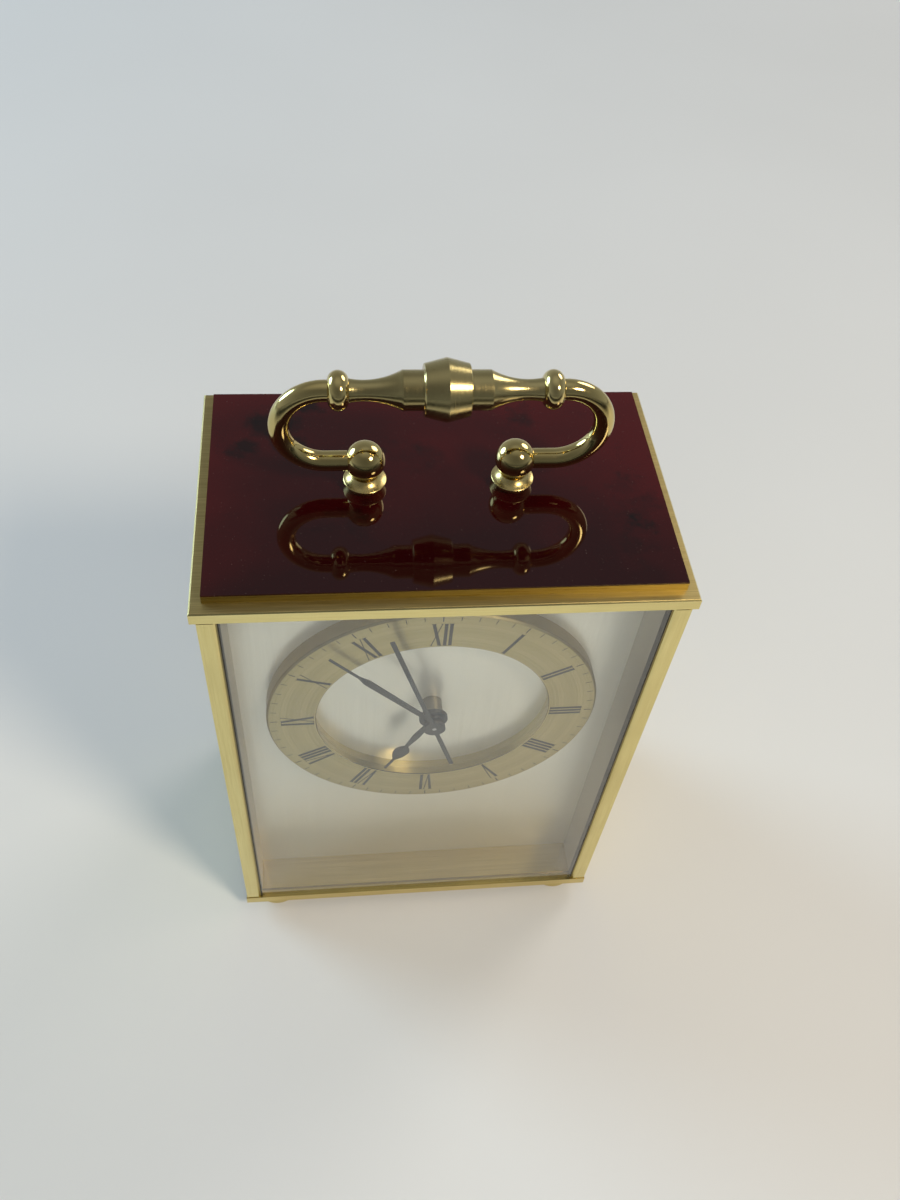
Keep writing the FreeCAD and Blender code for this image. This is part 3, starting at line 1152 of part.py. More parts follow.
def train_pieces():
    thickness = number("wheel_thickness")
    margin = number("pinion_margin")
    clearance = 2 * number("arbor_clearance")
    fit = 2 * number("spigot_clearance")
    depth = number("bearing_depth")
    hour_y = number(hour_layer)
    motion_y = number(motion_layer)
    centre_y = number(centre_layer)
    third_y = number(third_layer)
    seconds_y = number(seconds_layer)
    motion_size = number("motion_module")
    train_size = number("train_module")
    third_size = number(third_module)
    rotor_size = number(rotor_module)

    def wheel(teeth, module, phase, layer, bore):
        body = toothed(teeth, module, phase, layer, layer + thickness)
        return body.cut(round_bar(bore, layer - margin, layer + thickness + margin))

    def pinion(teeth, module, layer):
        return toothed(teeth, module, 0, layer - margin, layer + thickness + margin)

    rotor_bar = number("rotor_arbor")
    rotor_start = number(f"{seconds_layer} - bearing_gap - bearing_depth + arbor_clearance")
    rotor_end = number(f"{magnet_rear} + bearing_gap + bearing_depth - arbor_clearance")
    rotor_pinion = pinion(rotor_teeth, rotor_size, seconds_y)
    rotor_pinion = rotor_pinion.fuse(round_bar(rotor_bar, rotor_start, rotor_end))
    magnet = round_bar(number("magnet_diameter"), number(magnet_front), number(magnet_rear))
    magnet = magnet.cut(round_bar(rotor_bar + fit, rotor_start, rotor_end))
    turned_piece("rotor_pinion", rotor_pinion, rotor_x, rotor_z)
    turned_piece("rotor_magnet", magnet, rotor_x, rotor_z)

    seconds_bar = number("seconds_arbor")
    seconds_start = number(f"{dial_front} - {second_front}")
    seconds_end = number(f"{rear_bearing} + bearing_depth - arbor_clearance")
    seconds_arbor = pinion(seconds_pinion_teeth, third_size, third_y)
    seconds_arbor = seconds_arbor.fuse(round_bar(seconds_bar, seconds_start, seconds_end))
    seconds_phase = meshing(0, rotor_teeth, seconds_teeth, number("rotor_angle") + 180)
    seconds_wheel = wheel(seconds_teeth, rotor_size, seconds_phase, seconds_y, seconds_bar + fit)
    turned_piece("seconds_arbor", seconds_arbor, "0", dial_z)
    turned_piece("seconds_wheel", seconds_wheel, "0", dial_z)

    third_bar = number("train_arbor")
    third_start = number(f"{centre_layer} - bearing_gap - bearing_depth + arbor_clearance")
    third_pinion = pinion(third_pinion_teeth, train_size, centre_y)
    third_pinion = third_pinion.fuse(round_bar(third_bar, third_start, seconds_end))
    third_phase = meshing(0, seconds_pinion_teeth, third_teeth, number("third_angle"))
    third_wheel = wheel(third_teeth, third_size, third_phase, third_y, third_bar + fit)
    turned_piece("third_pinion", third_pinion, third_x, third_z)
    turned_piece("third_wheel", third_wheel, third_x, third_z)

    minute_bar = number("minute_pipe")
    minute_start = number(f"{dial_front} - {minute_front}")
    minute_end = centre_y + thickness + margin
    minute_pipe = pinion(cannon_teeth, motion_size, motion_y)
    minute_pipe = minute_pipe.fuse(round_bar(minute_bar, minute_start, minute_end))
    minute_bore = round_bar(seconds_bar + clearance, minute_start - margin, minute_end + margin)
    minute_pipe = minute_pipe.cut(minute_bore)
    centre_phase = meshing(0, third_pinion_teeth, centre_teeth, number("third_angle") + 180)
    centre_wheel = wheel(centre_teeth, train_size, centre_phase, centre_y, minute_bar + fit)
    turned_piece("minute_pipe", minute_pipe, "0", dial_z)
    turned_piece("centre_wheel", centre_wheel, "0", dial_z)

    motion_phase = meshing(0, cannon_teeth, motion_teeth, number("motion_angle"))
    motion_wheel = toothed(motion_teeth, motion_size, motion_phase, motion_y, motion_y + thickness)
    motion_pinion = toothed(motion_pinion_teeth, motion_size, 0, hour_y - margin, motion_y)
    motion_bore = round_bar(number("motion_post") + clearance, hour_y - 2 * margin,
                            motion_y + thickness + margin)
    motion_wheel = motion_wheel.fuse(motion_pinion).cut(motion_bore)
    turned_piece("motion_wheel", motion_wheel, motion_x, motion_z)

    hour_bar = number("hour_pipe")
    hour_start = number(f"{dial_front} - {hour_front}")
    hour_phase = meshing(0, motion_pinion_teeth, hour_teeth, number("motion_angle") + 180)
    hour_wheel = toothed(hour_teeth, motion_size, hour_phase, hour_y, hour_y + thickness)
    hour_wheel = hour_wheel.fuse(round_bar(hour_bar, hour_start, hour_y + thickness))
    hour_bore = round_bar(minute_bar + clearance, hour_start - margin, hour_y + thickness + margin)
    hour_wheel = hour_wheel.cut(hour_bore)
    turned_piece("hour_wheel", hour_wheel, "0", dial_z)

    stem_bar = number("stem_arbor")
    stem_start = number(f"{motion_layer} - bearing_gap - bearing_depth + arbor_clearance")
    stem_middle = motion_y + thickness + margin
    knob_start = number(f"{case_rear} + knob_gap")
    knob_end = number(f"{case_rear} + knob_gap + knob_height")
    stem_phase = meshing(motion_phase, motion_teeth, setting_teeth, number("setting_angle"))
    stem = toothed(setting_teeth, motion_size, stem_phase, motion_y - margin, stem_middle)
    stem = stem.fuse(round_bar(number("motion_post"), stem_start, stem_middle))
    stem = stem.fuse(round_bar(stem_bar, stem_middle, knob_end - thickness))
    ridge_module = number("knob_diameter") / (knob_ridges + 2 * addendum)
    knob = toothed(knob_ridges, ridge_module, 0, knob_start, knob_end)
    knob = knob.cut(round_bar(stem_bar + fit, knob_start - margin, knob_end - thickness))
    turned_piece("setting_stem", stem, setting_x, setting_z)
    turned_piece("setting_knob", knob, setting_x, setting_z)
    names = ("rotor_pinion", "rotor_magnet", "seconds_arbor", "seconds_wheel", "third_pinion",
             "third_wheel", "minute_pipe", "centre_wheel", "motion_wheel", "hour_wheel",
             "setting_stem", "setting_knob")
    return {name: doc.getObject(name) for name in names}


pieces = {
    "base_plate": base_plate(),
    "feet": feet(),
    "side_wall_left": side_wall("left", "-1"),
    "side_wall_right": side_wall("right", "1"),
    "top_plate": top_plate(),
    "inlay_plate": cover_plate("inlay_plate", roof, "inlay_thickness"),
    "lacquer_sheet": cover_plate("lacquer_sheet", inlay_top, "lacquer_thickness"),
    "base_screws": plate_screws("base_screws", "+z", base_low),
    "top_screws": plate_screws("top_screws", "-z", roof),
    "back_panel": back_panel(),
    "back_screws": back_screws(),
    "front_glass": front_glass(),
    "glass_seals": wall_strips("glass_seals", glass_front, glass_rear),
    "side_liners": wall_strips("side_liners", glass_rear, f"{dial_front} - seat_clearance"),
    "dial_plate": dial_plate(),
    "chapter_ring": chapter_ring(),
    "handle_post_left": handle_post("left", "-1"),
    "handle_post_right": handle_post("right", "1"),
    "post_collar_left": post_collar("left", "-1"),
    "post_collar_right": post_collar("right", "1"),
    "post_nuts": post_nuts(),
    "handle_arm_left": handle_arm("left", "-1"),
    "handle_arm_right": handle_arm("right", "1"),
    "handle_bead_left": handle_bead("left", "-1"),
    "handle_bead_right": handle_bead("right", "1"),
    "handle_grip": handle_grip(),
    "hour_hand": hour_hand(),
    "minute_hand": minute_hand(),
    "second_hand": second_hand(),
    "movement_front_case": movement_front_case(),
    "movement_back_case": movement_back_case(),
    "movement_screws": movement_screws(),
    "movement_nuts": movement_nuts(),
    "centre_bush": centre_bush(),
    "stator": stator(),
    "coil": coil(),
    "circuit_board": circuit_board(),
    "drive_chip": drive_chip(),
    "quartz_crystal": quartz_crystal(),
    "battery": battery(),
    "contact_minus": contact("contact_minus", "-1"),
    "contact_plus": contact("contact_plus", "1"),
    **train_pieces(),
}

for name, piece in pieces.items():
    piece.Label = name
doc.recompute()

for item in doc.Objects:
    if "Invalid" in item.State or "Error" in item.State:
        raise RuntimeError(f"{item.Name} failed: {item.State}")
for name, piece in pieces.items():
    if piece.Shape.isNull() or not piece.Shape.isValid() or not piece.Shape.Solids:
        raise RuntimeError(f"{name} has no valid solid")

os.makedirs("parts", exist_ok=True)
for name, piece in pieces.items():
    piece.Shape.exportStep(f"parts/{name}.step")
print(f"{len(pieces)} sub-parts written")
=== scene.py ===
import json
import math

import bmesh
import bpy
from mathutils import Matrix, Vector

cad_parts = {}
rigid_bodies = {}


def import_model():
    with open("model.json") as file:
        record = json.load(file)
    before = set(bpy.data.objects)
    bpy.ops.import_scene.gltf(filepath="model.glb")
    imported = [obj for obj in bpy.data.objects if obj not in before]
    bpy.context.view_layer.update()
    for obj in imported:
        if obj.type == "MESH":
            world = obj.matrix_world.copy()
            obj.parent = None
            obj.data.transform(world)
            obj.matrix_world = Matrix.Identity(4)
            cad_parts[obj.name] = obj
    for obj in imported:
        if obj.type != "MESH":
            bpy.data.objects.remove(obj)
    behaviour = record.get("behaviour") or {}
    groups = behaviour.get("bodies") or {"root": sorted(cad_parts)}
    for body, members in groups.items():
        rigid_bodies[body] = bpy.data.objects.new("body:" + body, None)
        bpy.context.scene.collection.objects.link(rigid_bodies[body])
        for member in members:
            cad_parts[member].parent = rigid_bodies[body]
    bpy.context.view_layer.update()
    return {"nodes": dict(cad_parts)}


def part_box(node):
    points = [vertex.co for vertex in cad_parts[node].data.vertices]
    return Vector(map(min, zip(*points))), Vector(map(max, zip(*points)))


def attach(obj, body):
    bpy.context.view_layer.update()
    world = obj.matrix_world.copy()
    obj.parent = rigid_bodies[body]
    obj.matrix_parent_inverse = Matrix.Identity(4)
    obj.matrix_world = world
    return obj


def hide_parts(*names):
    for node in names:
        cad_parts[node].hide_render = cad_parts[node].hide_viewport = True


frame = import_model()
nodes = frame["nodes"]
scene = bpy.context.scene
mm = 0.001
softEdge = 0.05 * mm  # over which one finish turns into the next
print("frame loaded:", len(nodes), "nodes")


class Wire:
    # A node socket that takes part in plain sums
    def __init__(self, tree, socket):
        self.tree = tree
        self.socket = socket

    def math(self, operation, first, second=0.0):
        return self.tree.node("ShaderNodeMath", {"operation": operation}, {0: first, 1: second})

    def __add__(self, other):
        return self.math("ADD", self, other)

    def __radd__(self, other):
        return self.math("ADD", other, self)

    def __sub__(self, other):
        return self.math("SUBTRACT", self, other)

    def __rsub__(self, other):
        return self.math("SUBTRACT", other, self)

    def __mul__(self, other):
        return self.math("MULTIPLY", self, other)

    def __rmul__(self, other):
        return self.math("MULTIPLY", other, self)

    def __truediv__(self, other):
        return self.math("DIVIDE", self, other)

    def __rtruediv__(self, other):
        return self.math("DIVIDE", other, self)

    def __pow__(self, other):
        return self.math("POWER", self, other)

    def __rpow__(self, other):
        return self.math("POWER", other, self)

    def __mod__(self, other):
        return self.math("MODULO", self, other)

    def __rmod__(self, other):
        return self.math("MODULO", other, self)

    def clipped(self):
        return self.math("MINIMUM", self.math("MAXIMUM", self, 0.0), 1.0)

    def ramp(self, width):
        # Rises from 0 to 1 while the value goes from 0 to the width
        return (self * (1.0 / width)).clipped()

    def unsigned(self):
        return self.math("ABSOLUTE", self)

    def floored(self):
        return self.math("FLOOR", self)

    def sine(self):
        return self.math("SINE", self)

    def cosine(self):
        return self.math("COSINE", self)


class Tree:
    # A node tree that grows one node at a time
    def __init__(self, nodeTree):
        self.nodeTree = nodeTree

    def node(self, kind, settings=None, sockets=None, out=0):
        made = self.nodeTree.nodes.new(kind)
        for key, value in (settings or {}).items():
            if key == "stops":
                self.setStops(made.color_ramp, value)
            else:
                setattr(made, key, value)
        for key, value in (sockets or {}).items():
            self.join(value, made.inputs[key])
        return Wire(self, made.outputs[out])

    def join(self, value, socket):
        if isinstance(value, Wire):
            self.nodeTree.links.new(value.socket, socket)
        else:
            socket.default_value = value

    def setStops(self, ramp, stops):
        while len(ramp.elements) > 1:
            ramp.elements.remove(ramp.elements[-1])
        ramp.elements[0].position, ramp.elements[0].color = stops[0]
        for place, colour in stops[1:]:
            ramp.elements.new(place).color = colour

    def blend(self, amount, first, second):
        return self.node("ShaderNodeMix", {"data_type": "RGBA"}, {0: amount, 6: first, 7: second}, out=2)


class Finish(Tree):
    # One material under construction
    def __init__(self, name):
        self.material = bpy.data.materials.new(name)
        self.material.use_nodes = True
        super().__init__(self.material.node_tree)
        self.nodeTree.nodes.clear()
        self.output = self.nodeTree.nodes.new("ShaderNodeOutputMaterial")

    def spot(self):
        return self.node("ShaderNodeTexCoord", out="Object")

    def along(self, axis):
        return self.node("ShaderNodeSeparateXYZ", {}, {0: self.spot()}, out=axis)

    def place(self, scale=(1, 1, 1)):
        return self.node("ShaderNodeMapping", {}, {"Vector": self.spot(), "Scale": scale})

    def noise(self, where, scale, detail=3.0, rough=0.5, out=0):
        sockets = {"Vector": where, "Scale": scale, "Detail": detail, "Roughness": rough}
        return self.node("ShaderNodeTexNoise", {}, sockets, out)

    def lineNoise(self, where, scale, detail, rough=0.5):
        sockets = {"W": where, "Scale": scale, "Detail": detail, "Roughness": rough}
        return self.node("ShaderNodeTexNoise", {"noise_dimensions": "1D"}, sockets)

    def bump(self, height, strength, distance):
        sockets = {"Height": height, "Strength": strength, "Distance": distance}
        return self.node("ShaderNodeBump", {}, sockets)

    def show(self, shader):
        self.join(shader, self.output.inputs["Surface"])
        return self.material

    def surface(self, sockets):
        return self.show(self.node("ShaderNodeBsdfPrincipled", {}, sockets))


def rgb(r, g, b):
    return (r, g, b, 1.0)


# Light and deep tone of each brass
tones = {"polished": (rgb(0.76, 0.635, 0.295), rgb(0.55, 0.43, 0.165)),
         "grip": (rgb(0.62, 0.53, 0.255), rgb(0.46, 0.375, 0.165)),
         "collar": (rgb(0.74, 0.61, 0.285), rgb(0.54, 0.42, 0.165)),
         "wall": (rgb(0.88, 0.775, 0.36), rgb(0.72, 0.60, 0.25)),
         "edge": (rgb(0.82, 0.67, 0.28), rgb(0.60, 0.46, 0.16)),
         "plate": (rgb(0.64, 0.515, 0.23), rgb(0.39, 0.30, 0.115)),
         # inlay tone kept far darker than the other brass: painted dark reflection of the front
         "inlay": (rgb(0.46, 0.38, 0.14), rgb(0.29, 0.23, 0.075)),
         "ring": (rgb(0.64, 0.54, 0.27), rgb(0.43, 0.35, 0.155))}
# Tarnish colour; it is also mixed into the chapter ring's bore and outer wall as painted shade
tarnishAndShade = rgb(0.34, 0.25, 0.10)
wearAndShade = {"cloudScale": 70.0, "speckScale": 900.0, "speckBlend": 0.55, "brushedScale": 45.0,
        "brushedBlend": 0.35, "turnedScale": 60.0, "turnedBlend": 0.3, "boreShadeBlend": 0.2, "outsideShadeBlend": 0.65}


def polishedBrass(name, tone, rough, grain=(1, 1, 1), grainScale=1800.0, lines=0.02, depth=0.02 * mm):
    # Mirror brass with faint tarnish clouds and hair scratches along the grain
    f = Finish(name)
    light, deep = tones[tone]
    clouds = f.noise(f.place(), wearAndShade["cloudScale"], 4.0)
    specks = f.noise(f.place(), wearAndShade["speckScale"], 2.0)
    scratch = f.noise(f.place(grain), grainScale, 2.0)
    colour = f.blend((clouds * 1.6 - 0.45).clipped(), deep, light)
    colour = f.blend((specks * 5.0 - 3.3).clipped() * wearAndShade["speckBlend"], colour, tarnishAndShade)
    roughness = rough + (clouds - 0.5) * rough * 0.8 + (scratch - 0.5) * rough * 0.9
    return f.surface({"Base Color": colour, "Metallic": 1.0, "Roughness": roughness.clipped(),
                      "Normal": f.bump(scratch, lines, depth)})


def brushedBrass(name, tone, grain, rough, scale=1500.0, lines=0.12, rim=None):
    # Satin brass with a straight brushed grain; rim gives the edges below a height their own finish
    f = Finish(name)
    light, deep = tones[tone]
    clouds = f.noise(f.place(), wearAndShade["brushedScale"], 3.0)
    streak = f.noise(f.place(grain), scale, 4.0, 0.7)
    fine = f.noise(f.place(grain), scale * 3.1, 2.0, 0.6)
    lay = streak * 0.65 + fine * 0.35
    grained = (lay * 3.0 - 1.0).clipped()
    colour = f.blend(grained, deep, light)
    roughness = rough + (lay - 0.5) * 0.3
    if rim:
        rimTop, rimTone, rimRough = rim
        below = (rimTop - f.along("Z")).ramp(0.125 * mm)
        rimLight, rimDeep = tones[rimTone]
        colour = f.blend(below, colour, f.blend(grained, rimDeep, rimLight))
        roughness = roughness + below * (rimRough - rough)
    colour = f.blend((clouds * 1.5 - 0.65).clipped() * wearAndShade["brushedBlend"], colour, tarnishAndShade)
    return f.surface({"Base Color": colour, "Metallic": 1.0, "Roughness": roughness.clipped(),
                      "Normal": f.bump(lay, lines, 0.03 * mm)})


# Chapter ring; inside boreEnd it is smoother, and inside boreEnd and outside rimStart it is darkened as
# painted shade
ring = {"outer": 40.5, "inner": 28.6, "back": 29.1, "thickness": 4.2, "bevel": 0.5, "edge": 0.15,
        "boreEnd": 28.85, "rimStart": 40.4}
ringLow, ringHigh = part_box("chapter_ring")
dialCentre = (ringLow + ringHigh) / 2


def turnedBrass(name, tone, rough):
    # Brass faced on a lathe: fine rings about the dial's centre, smoother in the bore; bore and outer wall
    # darkened as painted shade
    f = Finish(name)
    light, deep = tones[tone]
    across = f.along("X") - dialCentre.x
    upward = f.along("Z") - dialCentre.z
    radius = (across * across + upward * upward) ** 0.5
    lines = f.lineNoise(radius, 1700.0, 4.0, 0.7) * 0.75 + f.lineNoise(radius, 420.0, 2.0) * 0.25
    clouds = f.noise(f.place(), wearAndShade["turnedScale"], 3.0)
    colour = f.blend((lines * 2.4 - 0.7).clipped(), deep, light)
    colour = f.blend((clouds * 1.4 - 0.6).clipped() * wearAndShade["turnedBlend"], colour, tarnishAndShade)
    # Bore wall and outer wall: painted shade, a darker tone mixed in by radius
    bore = (ring["boreEnd"] * mm - radius).ramp(softEdge)
    shadedOutside = (radius - ring["rimStart"] * mm).ramp(softEdge)
    paintedShade = bore * wearAndShade["boreShadeBlend"] + shadedOutside * wearAndShade["outsideShadeBlend"]
    colour = f.blend(paintedShade.clipped(), colour, tarnishAndShade)
    roughness = rough + (lines - 0.5) * 0.22 - bore * rough * 0.55
    return f.surface({"Base Color": colour, "Metallic": 1.0, "Roughness": roughness.clipped(),
                      "Normal": f.bump(lines, 0.5, 0.06 * mm)})


# Dial plate; a warm painted reflection of the brass floor comes in below a height
dial = {"shade": rgb(0.87, 0.84, 0.745), "light": rgb(0.98, 0.95, 0.86), "paintedReflection": rgb(0.80, 0.68, 0.44),
        "reflectionBelow": 60.0, "reflectionOver": 50.0, "reflectionBlend": 0.62}


def silverDial():
    # Silvered plate brushed up and down
    f = Finish("silverDial")
    streak = f.noise(f.place((1, 1, 0.008)), 2400.0, 4.0, 0.7)
    broad = f.noise(f.place((1, 1, 0.02)), 320.0, 2.0)
    lay = streak * 0.7 + broad * 0.3
    colour = f.blend((lay * 2.0 - 0.5).clipped(), dial["shade"], dial["light"])
    # Warm tint towards the bottom: painted reflection of the brass floor
    paintedReflection = (dial["reflectionBelow"] * mm - f.along("Z")).ramp(dial["reflectionOver"] * mm)
    colour = f.blend(paintedReflection * dial["reflectionBlend"], colour, dial["paintedReflection"])
    return f.surface({"Base Color": colour, "Metallic": 0.65,
                      "Roughness": (0.30 + (lay - 0.5) * 0.10).clipped(),
                      "Normal": f.bump(lay, 0.03, 0.02 * mm)})


# Lacquer; each cloud is (x, y, radius, sharpness)
lacquer = {"clouds": [(-37, 20, 6.0, 420), (-32, 12, 5.0, 480), (-42, 12, 3.6, 480), (-28, 27, 5.6, 400),
                      (-4, 9, 7.0, 90), (43, -6, 8.0, 80), (41, -19, 5.5, 90), (22, 21, 5.0, 140),
                      (-20, -10, 7.0, 70)],
           "deepRed": rgb(0.018, 0.001, 0.0014), "brightRed": rgb(0.084, 0.0022, 0.003),
           "black": rgb(0.005, 0.001, 0.001), "dust": rgb(0.30, 0.24, 0.20), "swirl": 12.0,
           "halfWidth": 50.0, "halfDepth": 30.0, "gloss": 0.03}


def cloudedLacquer():
    # Deep red lacquer with black clouds under a mirror coat
    f = Finish("cloudedLacquer")
    warp = f.noise(f.place(), 26.0, 3.0)
    ragged = f.noise(f.place(), 160.0, 5.0, 0.62)
    swirl = f.noise(f.place(), 120.0, 4.0, 0.6, out="Color")
    drift = f.node("ShaderNodeVectorMath", {"operation": "MULTIPLY_ADD"},
                   {0: swirl, 1: (lacquer["swirl"] * mm, lacquer["swirl"] * mm, 0.0), 2: f.spot()})
    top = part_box("lacquer_sheet")[1].z
    shift = lacquer["swirl"] / 2
    dark = (ragged * 3.0 - 1.75).clipped() * 0.5
    for x, y, size, sharpness in lacquer["clouds"]:
        centre = ((x + shift) * mm, (y + shift) * mm, top)
        away = f.node("ShaderNodeVectorMath", {"operation": "DISTANCE"}, {0: drift, 1: centre}, out="Value")
        dark = dark + ((size * mm - away) * sharpness + (ragged - 0.5) * 2.4).clipped() * 0.8
    toRight = f.along("X") / (lacquer["halfWidth"] * mm)
    toBack = f.along("Y") / (lacquer["halfDepth"] * mm)
    glow = (warp * 1.3 - 0.46 + toRight * 0.08 + toBack * 0.38 + toRight * toRight * 0.28).clipped()
    red = f.blend(glow, lacquer["deepRed"], lacquer["brightRed"])
    colour = f.blend(dark.clipped(), red, lacquer["black"])
    motes = (f.noise(f.place(), 2600.0, 1.0) * 9.0 - 6.6).clipped()
    colour = f.blend(motes * 0.3, colour, lacquer["dust"])
    return f.surface({"Base Color": colour, "Roughness": (lacquer["gloss"] + motes * 0.3).clipped()})


pane = {"ior": 1.5, "shine": 1.8, "dust": 0.05}


def paneGlass():
    # Clear sheet: sharp reflection at the surface, otherwise see-through with a trace of dust
    f = Finish("paneGlass")
    facing = f.node("ShaderNodeFresnel", {}, {"IOR": pane["ior"]})
    inside = f.node("ShaderNodeNewGeometry", out="Backfacing")
    film = f.noise(f.place(), 55.0, 4.0)
    through = f.node("ShaderNodeBsdfTransparent", {}, {"Color": rgb(0.95, 0.96, 0.95)})
    mirror = f.node("ShaderNodeBsdfGlossy", {}, {"Color": rgb(1, 1, 1), "Roughness": 0.02})
    haze = f.node("ShaderNodeBsdfDiffuse", {}, {"Color": rgb(0.78, 0.77, 0.72)})
    dusty = f.node("ShaderNodeMixShader", {}, {0: (film * pane["dust"]).clipped(), 1: through, 2: haze})
    gloss = (facing * pane["shine"] * (1 - inside)).clipped()
    return f.show(f.node("ShaderNodeMixShader", {}, {0: gloss, 1: dusty, 2: mirror}))


def plainFinish(name, dark, light, rough, metal=0.0, scale=300.0, grain=(1, 1, 1), lines=0.05):
    # Even finish with a fine mottle, for painted, moulded and hidden pieces
    f = Finish(name)
    mottle = f.noise(f.place(grain), scale, 4.0, 0.6)
    value = mottle * 0.6 + f.noise(f.place(), 60.0, 2.0) * 0.4
    colour = f.blend((value * 2.0 - 0.5).clipped(), rgb(*dark), rgb(*light))
    return f.surface({"Base Color": colour, "Metallic": metal,
                      "Roughness": (rough + (value - 0.5) * 0.3).clipped(),
                      "Normal": f.bump(mottle, lines, 0.03 * mm)})


seal = {"lipDepth": 0.12, "lipWidth": 0.30}


def sealStrip():
    # Black strip beside the glass, with a dark brass-coloured lip in front along the wall: painted shade
    # standing for the wall's shaded edge
    f = Finish("sealBlack")
    low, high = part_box("glass_seals")
    outer = (f.along("X").unsigned() - high.x + seal["lipWidth"] * mm).ramp(softEdge)
    lip = (low.y + seal["lipDepth"] * mm - f.along("Y")).ramp(softEdge) * outer
    mottle = f.noise(f.place(), 300.0, 4.0, 0.6)
    colour = f.blend(mottle, rgb(0.012, 0.010, 0.005), rgb(0.026, 0.022, 0.012))
    # Lip colour: painted shade, a darkened copy of the wall's brass
    colour = f.blend(lip, colour, rgb(0.34, 0.28, 0.13))
    return f.surface({"Base Color": colour, "Metallic": lip, "Roughness": (0.6 - lip * 0.2).clipped()})


sleeve = {"bandStart": 12.5, "bareStart": 23.8, "edge": 0.25}


def batterySleeve():
    # Dark sleeve with a copper-coloured band and a bare button at one end
    f = Finish("batterySleeve")
    along = f.along("X")
    band = (along - sleeve["bandStart"] * mm).ramp(sleeve["edge"] * mm)
    bare = (along - sleeve["bareStart"] * mm).ramp(sleeve["edge"] * mm)
    mottle = f.noise(f.place(), 500.0, 3.0)
    colour = f.blend(mottle, rgb(0.020, 0.020, 0.022), rgb(0.035, 0.035, 0.038))
    colour = f.blend(band, colour, rgb(0.55, 0.27, 0.12))
    colour = f.blend(bare, colour, rgb(0.70, 0.70, 0.70))
    return f.surface({"Base Color": colour, "Metallic": (band * 0.7 + bare * 0.3).clipped(),
                      "Roughness": (0.28 + (mottle - 0.5) * 0.2).clipped()})


finishes = {
    "mirrorBrass": polishedBrass("mirrorBrass", "polished", 0.12),
    "lathedBrass": polishedBrass("lathedBrass", "grip", 0.21, (1, 0.02, 0.02), 5000.0, 1.0),
    "collarBrass": polishedBrass("collarBrass", "collar", 0.30),
    "uprightBrass": brushedBrass("uprightBrass", "wall", (1, 1, 0.02), 0.20, 1800.0, 0.05),
    "edgeBrass": brushedBrass("edgeBrass", "edge", (0.02, 1, 1), 0.17, 1600.0, 0.05),
    "plateBrass": brushedBrass("plateBrass", "plate", (0.012, 1, 1), 0.44, 3600.0, 0.2,
                               (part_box("top_plate")[1].z - 0.03 * mm, "wall", 0.16)),
    # Its dark tone is painted dark reflection
    "inlayBrass": brushedBrass("inlayBrass", "inlay", (0.02, 1, 1), 0.30, 1800.0),
    "ringBrass": turnedBrass("ringBrass", "ring", 0.32),
    "silverDial": silverDial(),
    "cloudedLacquer": cloudedLacquer(),
    "paneGlass": paneGlass(),
    "batterySleeve": batterySleeve(),
    # bush tone darkened as painted shade, so that its reflection in the dial stays dark
    "dullBush": plainFinish("dullBush", (0.20, 0.18, 0.14), (0.30, 0.275, 0.215), 0.50, 0.9),
    "sealBlack": sealStrip(),
    "linerGrey": plainFinish("linerGrey", (0.38, 0.335, 0.255), (0.50, 0.445, 0.35), 0.42, 0.35, 1400.0,
                             (1, 1, 0.02)),
    "handSlate": plainFinish("handSlate", (0.018, 0.021, 0.026), (0.040, 0.045, 0.052), 0.48, 0.3, 1200.0),
    "printBlack": plainFinish("printBlack", (0.010, 0.010, 0.011), (0.022, 0.022, 0.022), 0.55, 0.0,
                              1500.0),
    "screwSteel": plainFinish("screwSteel", (0.42, 0.42, 0.43), (0.60, 0.60, 0.61), 0.30, 1.0, 900.0),
    "caseBlack": plainFinish("caseBlack", (0.014, 0.014, 0.015), (0.026, 0.026, 0.027), 0.52, 0.0, 2600.0,
                             lines=0.25),
    "wheelWhite": plainFinish("wheelWhite", (0.66, 0.63, 0.56), (0.80, 0.78, 0.72), 0.45, 0.0, 700.0),
    "boardGreen": plainFinish("boardGreen", (0.012, 0.075, 0.030), (0.020, 0.12, 0.05), 0.35, 0.0, 500.0),
    "chipBlack": plainFinish("chipBlack", (0.012, 0.012, 0.012), (0.022, 0.022, 0.022), 0.5, 0.0, 2000.0),
    "brightCan": plainFinish("brightCan", (0.62, 0.62, 0.63), (0.78, 0.78, 0.79), 0.18, 1.0, 600.0),
    "coilCopper": plainFinish("coilCopper", (0.42, 0.14, 0.05), (0.66, 0.27, 0.12), 0.30, 0.9, 2600.0,
                              (0.02, 0.02, 1), 0.3),
    "magnetGrey": plainFinish("magnetGrey", (0.05, 0.05, 0.052), (0.09, 0.09, 0.092), 0.42, 0.6),
}
